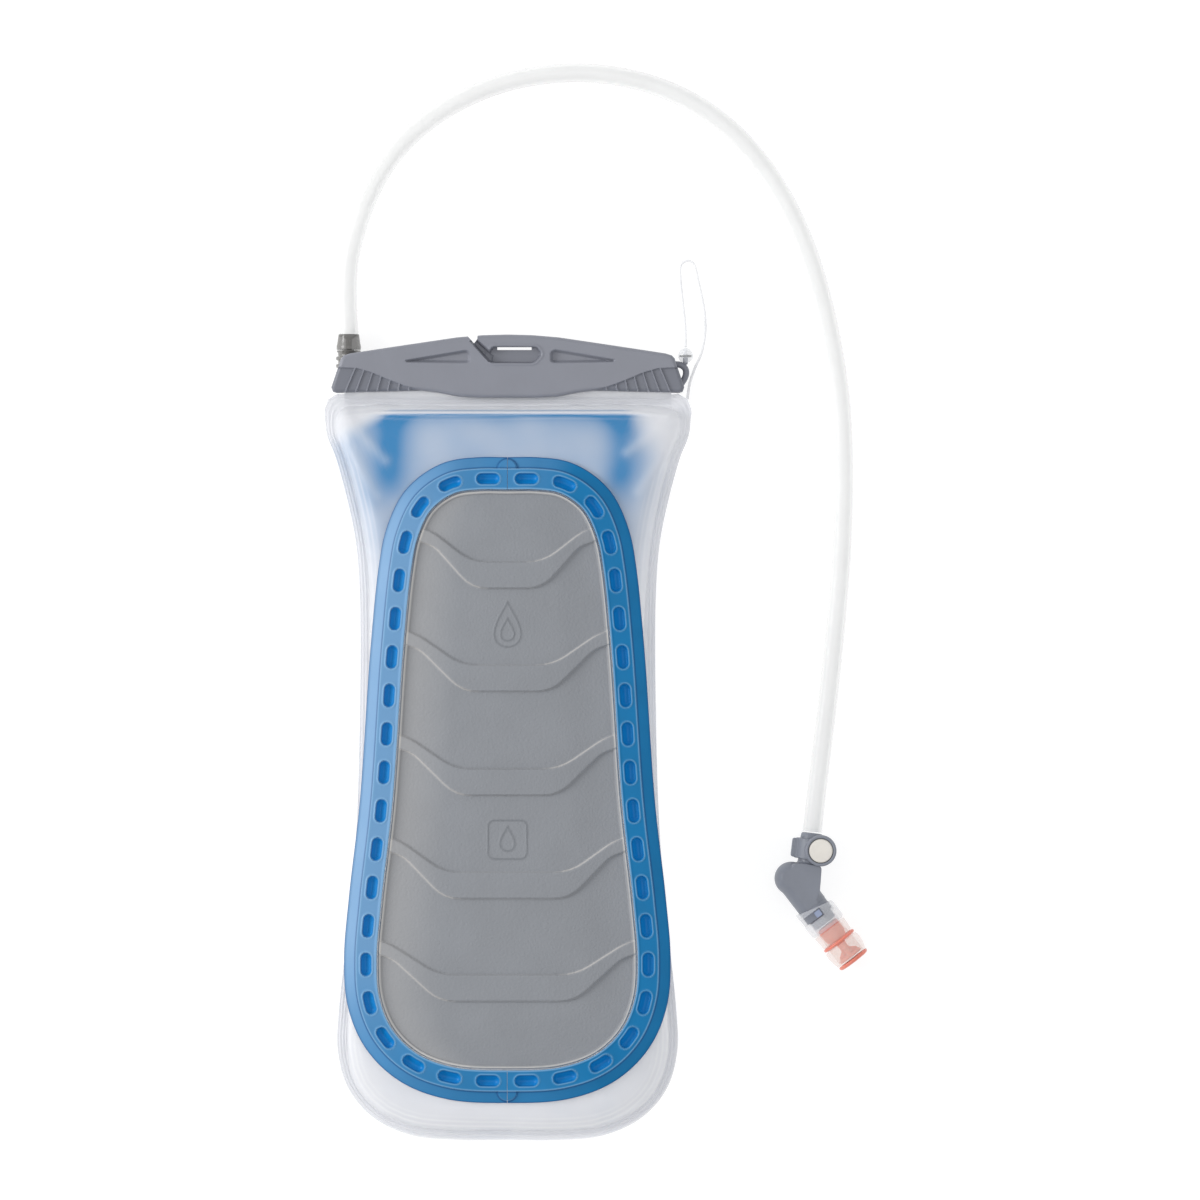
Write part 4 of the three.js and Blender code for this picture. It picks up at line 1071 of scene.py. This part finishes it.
def slider():
    x, y = slider_grid()
    inside = -edge_distance(x, y, mirrored(SLIDER_TOP + SLIDER_FOOT[-2::-1]))
    near = np.clip(1 - inside / SLIDER_ROUND, 0, 1)
    corner = SLIDER_ROUND * (1 - np.sqrt(1 - near ** 2))
    depth, sunk = slider_relief(x, y)
    top = SLIDER_TOP_Z - corner - depth
    back = smoothstep(y, 183.6, 184.4)
    low = SLIDER_LOW_Z + np.minimum(corner, 1.5) * (1 - back) + 6.5 * back
    body = slab("closure_slider", np.stack([x, y, top], -1), np.stack([x, y, low], -1), GREY)
    # Painted shade in the sunk corners and the hang recess.
    paint(body, "sunk", sunk)
    cuts = [
        box_object("cavity", (-100, 172, 16.8), (81, 180.4, 25.2)),
        box_object("throat", (-100, 160, 19.1), (84, 173, 22.9)),
        box_object("slit", (-5.2, 189.3, 10), (11.6, 190.7, 30)),
        prism_object("notch", HANG_NOTCH, 10, 32),
    ]
    cut_out(body, cuts)
    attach(body, "closure")
    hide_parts("slider")
    side_hook()


def side_hook():
    """The small hook on the closure's end, and the post that the tether's bead sits on."""
    bend = [
        (81.5, 182.4), (84.6, 182), (86.6, 180.6), (87.3, 178.4), (86.8, 176), (85.6, 173.8),
        (84.9, 172.8),
    ]
    arm = rod_rows([(x, y, WELD_Z) for x, y in bend], 30, 1.55, 16)
    arm[..., 2] = WELD_Z + (arm[..., 2] - WELD_Z) * 1.05
    hook = shell("closure_hook", arm, GREY)
    # The hook gets half of the sunk corners' painted shade, all over.
    paint(hook, "sunk", np.full(len(hook.data.vertices), 0.5))
    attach(hook, "closure")
    profile = [(0.9, 182.2), (1.2, 182.6), (1.2, 185.4), (0.8, 185.7)]
    post = turned("hook_post", profile, place(POST_X, 0, WELD_Z), GREY, 24)
    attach(post, "closure")


def bead():
    """The clear ball on the tether's end, with a dark ring inside it."""
    turns = np.linspace(-math.pi / 2 + 0.36, math.pi / 2 - 0.2, 26)
    profile = [(3.7 * math.cos(turn), 186.6 + 3.7 * math.sin(turn)) for turn in turns]
    profile += [(0.8, 190.2), (0.8, 187.6), (1.35, 187.2), (1.35, 183.2)]
    at_bead = place(TETHER_X, 0, WELD_Z)
    ball = turned("tether_ball", profile, at_bead, CLEAR, 48, closed=True)
    inner = turned("bead_ring", circle(0.55, 12) + (2.6, 186.4), at_bead, SMOKE, 40, closed=True)
    for piece in (ball, inner):
        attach(piece, "closure")
    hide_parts("tether_bead")


def anchor():
    """The clear tab on the bag's ear that holds the tether's other end."""
    at_tab = place(TAB_X, 158.6, 17, math.pi / 2, "X")
    profile = rounded([(0, -1.8), (3.6, -1.8), (3.6, 1.8), (2.2, 1.8), (1.9, 1.2), (0, 1.2)], 0.7)
    tab = turned("tether_tab", profile[:-1] + [(0.01, 1.2)], at_tab, CLEAR, 40)
    stem = [(86.5, 159, 16.2), (86.8, 160.4, 15.3), (87.3, 161.6, 14.4), (87.5, 162.3, 13.9)]
    neck = shell("tether_stem", rod_rows(stem, 14, 0.95, 14), CLEAR)
    for piece in (tab, neck):
        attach(piece, "reservoir")
    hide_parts("tether_anchor")


slider()
bead()
anchor()


# ---- Coupler between the hoses ----
def coupler():
    """The ribbed socket on the lower hose, and the collar on the drinking hose."""
    ribs = [(3.35, 176), (5.2, 176)]
    for k in range(3):
        y = 177.6 + 3.7 * k
        ribs += [(5.2, y - 0.5), (6.3, y), (6.3, y + 1.3), (5.2, y + 1.8)]
    ribs += [(5.4, 188.6), (5.9, 188.9), (5.9, 189.6), (3.35, 189.6)]
    socket = moulded("coupler_body", ribs, 0.3, AT_COUPLER, SMOKE, 56, closed=True)
    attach(socket, "reservoir")
    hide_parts("coupler_socket")
    profile = [
        (1.5, 178.8), (2.2, 178.8), (2.4, 179.4), (2.4, 189.9), (6.0, 189.9), (6.05, 191.4),
        (5.6, 193.6), (5.1, 197.4), (4.85, 197.6), (4.85, 196.2), (3.0, 196.1), (1.5, 195),
    ]
    plug = moulded("coupler_collar", profile, 0.3, AT_COUPLER, SMOKE, 56, closed=True)
    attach(plug, "drinking_tube")
    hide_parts("coupler_plug")
    return plug


PLUG = coupler()


# ---- Bite valve and magnet clip ----
ELBOW_CHEEK = [
    (139.5, -62.4), (144.2, -62.2), (153.9, -63.8), (153.4, -71), (152.8, -77.6), (148, -83.5),
    (141, -74),
]
CHEEK_HALF = 7.4


def joined(name, parts, material):
    """One piece of several shells, used up in the making."""
    vertices, faces = [], []
    for part in parts:
        start = len(vertices)
        vertices += [tuple(v.co / MM) for v in part.data.vertices]
        faces += [[start + i for i in face.vertices] for face in part.data.polygons]
        bpy.data.objects.remove(part)
    return make_object(name, vertices, faces, material)


def dome(radius, height):
    """The profile of a ball round a point on the lathe's axis."""
    turns = np.linspace(-math.pi / 2 + 0.03, math.pi / 2 - 0.03, 32)
    return [(radius * math.cos(a), radius * math.sin(a) + height) for a in turns]


def elbow():
    """The valve's grey body: a neck on the hose, a rounded elbow and a barrel, in one moulding."""
    profile = [(0.02, -27), (5.4, -26), (5.5, -20), (5.5, -1.4), (5.1, -0.1), (0.02, 0)]
    neck = turned("neck", profile, AT_NECK, None)
    lobe = turned("lobe", dome(8.2, -0.4), AT_VALVE, None)
    profile = [(0.02, -1), (7.6, 0), (7.6, 14.6), (7.6, 17.4), (0.02, 17.5)]
    barrel = turned("barrel", profile, AT_VALVE, None)
    outline = rounded(ELBOW_CHEEK, 1.5, closed=True)
    cheek = prism_object("cheek", outline, VALVE_Z - CHEEK_HALF, VALVE_Z + CHEEK_HALF)
    body = joined("valve_body", [neck, lobe, barrel, cheek], ELBOW_GREY)
    melt(body, 0.42, 9)
    for vertex in body.data.vertices:
        height = vertex.co.z / MM - VALVE_Z
        vertex.co.z = (VALVE_Z + max(-ELBOW_FLAT, min(ELBOW_FLAT, height))) * MM
    profile = [(3.4, 17), (7.4, 17), (7.4, 22.9), (6.1, 23.1), (6.1, 27.4), (3.4, 27.4)]
    nose = moulded("valve_nose", profile, 0.4, AT_VALVE, ELBOW_GREY)
    lug = [(-1.6, 19.6), (1.6, 19.6), (1.6, 22.6), (-1.6, 22.6)]
    pin = prism_object("valve_lug", rounded(lug, 0.5, closed=True), 5, 8.9, LUG_LOOK)
    pin.data.transform(AT_VALVE)
    for piece in (body, nose, pin):
        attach(piece, "drinking_tube")
    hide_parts("valve_elbow")
    return [body, nose, pin]


def collar_window():
    """The cutter for the collar's window, a block bent round the axis."""
    ring = []
    for turn in np.linspace(math.radians(-16), math.radians(106), 24):
        corners = [(6.5, 18.9), (11, 18.9), (11, 23.3), (6.5, 23.3)]
        ring.append([(r * math.sin(turn), y, r * math.cos(turn)) for r, y in corners])
    return shell("window", ring, None)


def collar():
    """The clear collar that turns on the barrel, cut slanting at its foot."""
    profile = [
        (7.9, 17.8), (9.2, 17.8), (9.5, 19), (9.5, 29), (8.4, 30.2), (6.7, 30.2), (6.7, 24),
        (7.9, 23.6),
    ]
    piece = moulded("shut_collar", profile, 0.3, AT_ORIGIN, CLEAR, 96, closed=True)
    for vertex in piece.data.vertices:
        back = 1 - float(smoothstep(vertex.co.y / MM, 19.5, 26))
        vertex.co.y -= 0.24 * back * vertex.co.x
    piece.data.transform(AT_VALVE)
    cutter = collar_window()
    cutter.data.transform(AT_VALVE)
    cut_out(piece, [cutter])
    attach(piece, "bite_valve")
    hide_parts("shutoff_collar")
    return piece


def cross_stem():
    """The core's stem: four fins with a foot, seen through the sleeve."""
    half = [(3.1, 37.2), (2.2, 40.4), (2.2, 43.4), (5.2, 45.4), (5.2, 47.4)]
    fin = [(-3.1, 37.2), *half, *((-x, y) for x, y in half[:0:-1])]
    outline = rounded(fin, 0.6, closed=True)
    parts = []
    for turn in (0, math.pi / 2):
        piece = prism_object("fin", outline, -1.1, 1.1)
        piece.data.transform(Matrix.Rotation(turn, 4, "Y"))
        parts.append(piece)
    plug = [(0.02, 28.2), (5.0, 28.2), (5.8, 29.2), (5.8, 35), (4.8, 37.2), (3.0, 38.2), (0.02, 38.2)]
    parts.append(moulded("plug", plug, 0.9, AT_ORIGIN, None, 48))
    foot = [(0.02, 46.4), (5.6, 46.4), (6.2, 47.2), (6.2, 48.2), (0.02, 48.4)]
    parts.append(moulded("foot", foot, 0.4, AT_ORIGIN, None, 48))
    stem = joined("valve_core", parts, CORAL)
    melt(stem, 0.3, 3)
    stem.data.transform(AT_VALVE)
    return stem


def mouthpiece():
    """The clear sleeve and what is on and in it: a band, the slit tip and the core."""
    profile = [
        (6.3, 30.5), (8.9, 30.5), (8.5, 36.8), (7.6, 37.3), (7.6, 39.3), (9.2, 39.9), (9.6, 42.2),
        (9.1, 46), (8.5, 48.4), (7.9, 48.8), (7.2, 48.8), (6.9, 41),
    ]
    sleeve = moulded("bite_shell", profile, 0.35, AT_VALVE, SLEEVE_LOOK, 80, closed=True)
    band = turned("bite_ring", circle(0.75, 16) + (8.3, 38.3), AT_VALVE, CORAL, 80, closed=True)
    profile = [
        (0.02, 49.1), (7.6, 49.1), (8.2, 49.2), (8.35, 49.8), (7.9, 50.6), (7.0, 50.9), (4, 51.1),
        (1.2, 50.4), (0.02, 50.3),
    ]
    tip = moulded("bite_mouth", profile, 0.3, AT_VALVE, CORAL, 80)
    stem = cross_stem()
    pieces = {sleeve: "bite_sleeve", stem: "bite_core", band: "bite_band", tip: "bite_tip"}
    for piece, node in pieces.items():
        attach(piece, "bite_valve")
        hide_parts(node)
    return list(pieces)


def clip():
    """The ring around the valve's neck, with its tab and the round puck that holds the magnet."""
    profile = [(5.9, -13), (7.4, -13), (7.4, -3), (5.9, -3)]
    ring = turned("ring", profile, AT_ORIGIN, None, closed=True)
    profile = [(0.02, 4.6), (7.3, 4.6), (7.7, 5.2), (7.7, 9.4), (7.3, 10.2), (0.02, 10.2)]
    puck = moulded("puck", profile, 0.25, ON_CLIP, None, 72)
    outline = [(-9.3, -12.6), (-6.2, -12.6), (-6.2, -3.4), (-9.3, -3.4)]
    tab = prism_object("tab", rounded(outline, 0.9, closed=True), -3.4, 3.4)
    body = joined("magnet_holder", [ring, puck, tab], ELBOW_GREY)
    melt(body, 0.35)
    bore = turned("bore", [(0.02, -14), (5.85, -14), (5.85, -2), (0.02, -2)], AT_ORIGIN, None)
    well = [(0.02, 7.8), (6.1, 7.8), (6.1, 14), (0.02, 14)]
    cut_out(body, [bore, moulded("well", well, 0.25, ON_CLIP, None, 72)])
    profile = [(6.15, 9.8), (7.5, 9.8), (7.5, 10.6), (7.1, 11), (6.5, 11), (6.15, 10.6)]
    lip = moulded("magnet_lip", profile, 0.25, ON_CLIP, ELBOW_GREY, 72, closed=True)
    profile = [(0.02, 8.1), (5.85, 8.1), (5.85, 10.3), (5.5, 10.7), (5.0, 10.8), (0.02, 10.85)]
    disc = moulded("magnet_face", profile, 0.25, ON_CLIP, CREAM, 72)
    for piece, slot in ((body, "grey_plastic"), (lip, "grey_plastic"), (disc, "magnet_cover")):
        piece.data.transform(AT_NECK)
        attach(piece, "clip")
    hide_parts("magnet_clip")
    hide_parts("magnet")
    return [body, lip, disc]


ON_HOSE = elbow() + [collar()] + mouthpiece() + clip() + [PLUG]


# ---- Outlet port, rails and seals ----
def port():
    """The outlet's flange in the film, and the turning elbow with its hose barb."""
    profile = [
        (8.9, 17.2), (8.9, 9.9), (13, 9.9), (13, 15.2), (14, 15.6), (19.6, 15.6), (20, 16),
        (20, 17.2),
    ]
    ring = moulded("port_ring", profile, 0.4, AT_PORT, PORT_LOOK, 80, closed=True)
    profile = [(0.02, 13.4), (8.3, 13.4), (8.3, 5.9), (0.02, 5.9)]
    plug = moulded("plug", profile, 0.4, AT_PORT, None)
    profile = [(0.02, 0.4), (12.0, 0.4), (12.4, 1.2), (12.4, 5.9), (0.02, 5.9)]
    cap = moulded("cap", profile, 0.6, AT_PORT, None)
    profile = [(0.02, -141), (4.7, -140), (4.7, -119.6), (0.02, -119.5)]
    barb = turned("barb", profile, place(0, 0, HOSE_Z), None, 40)
    body = joined("port_body", [plug, cap, barb], PORT_LOOK)
    melt(body, 0.6, 3)
    for piece, node in ((ring, "port_flange"), (body, "port_elbow")):
        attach(piece, "reservoir")
        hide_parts(node)


port()
for rail in ("mouth_rail_back", "mouth_rail_front"):
    recoat(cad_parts[rail], RAIL_LOOK)
for seal in ("port_seal", "coupler_seal"):
    recoat(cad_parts[seal], SEAL)
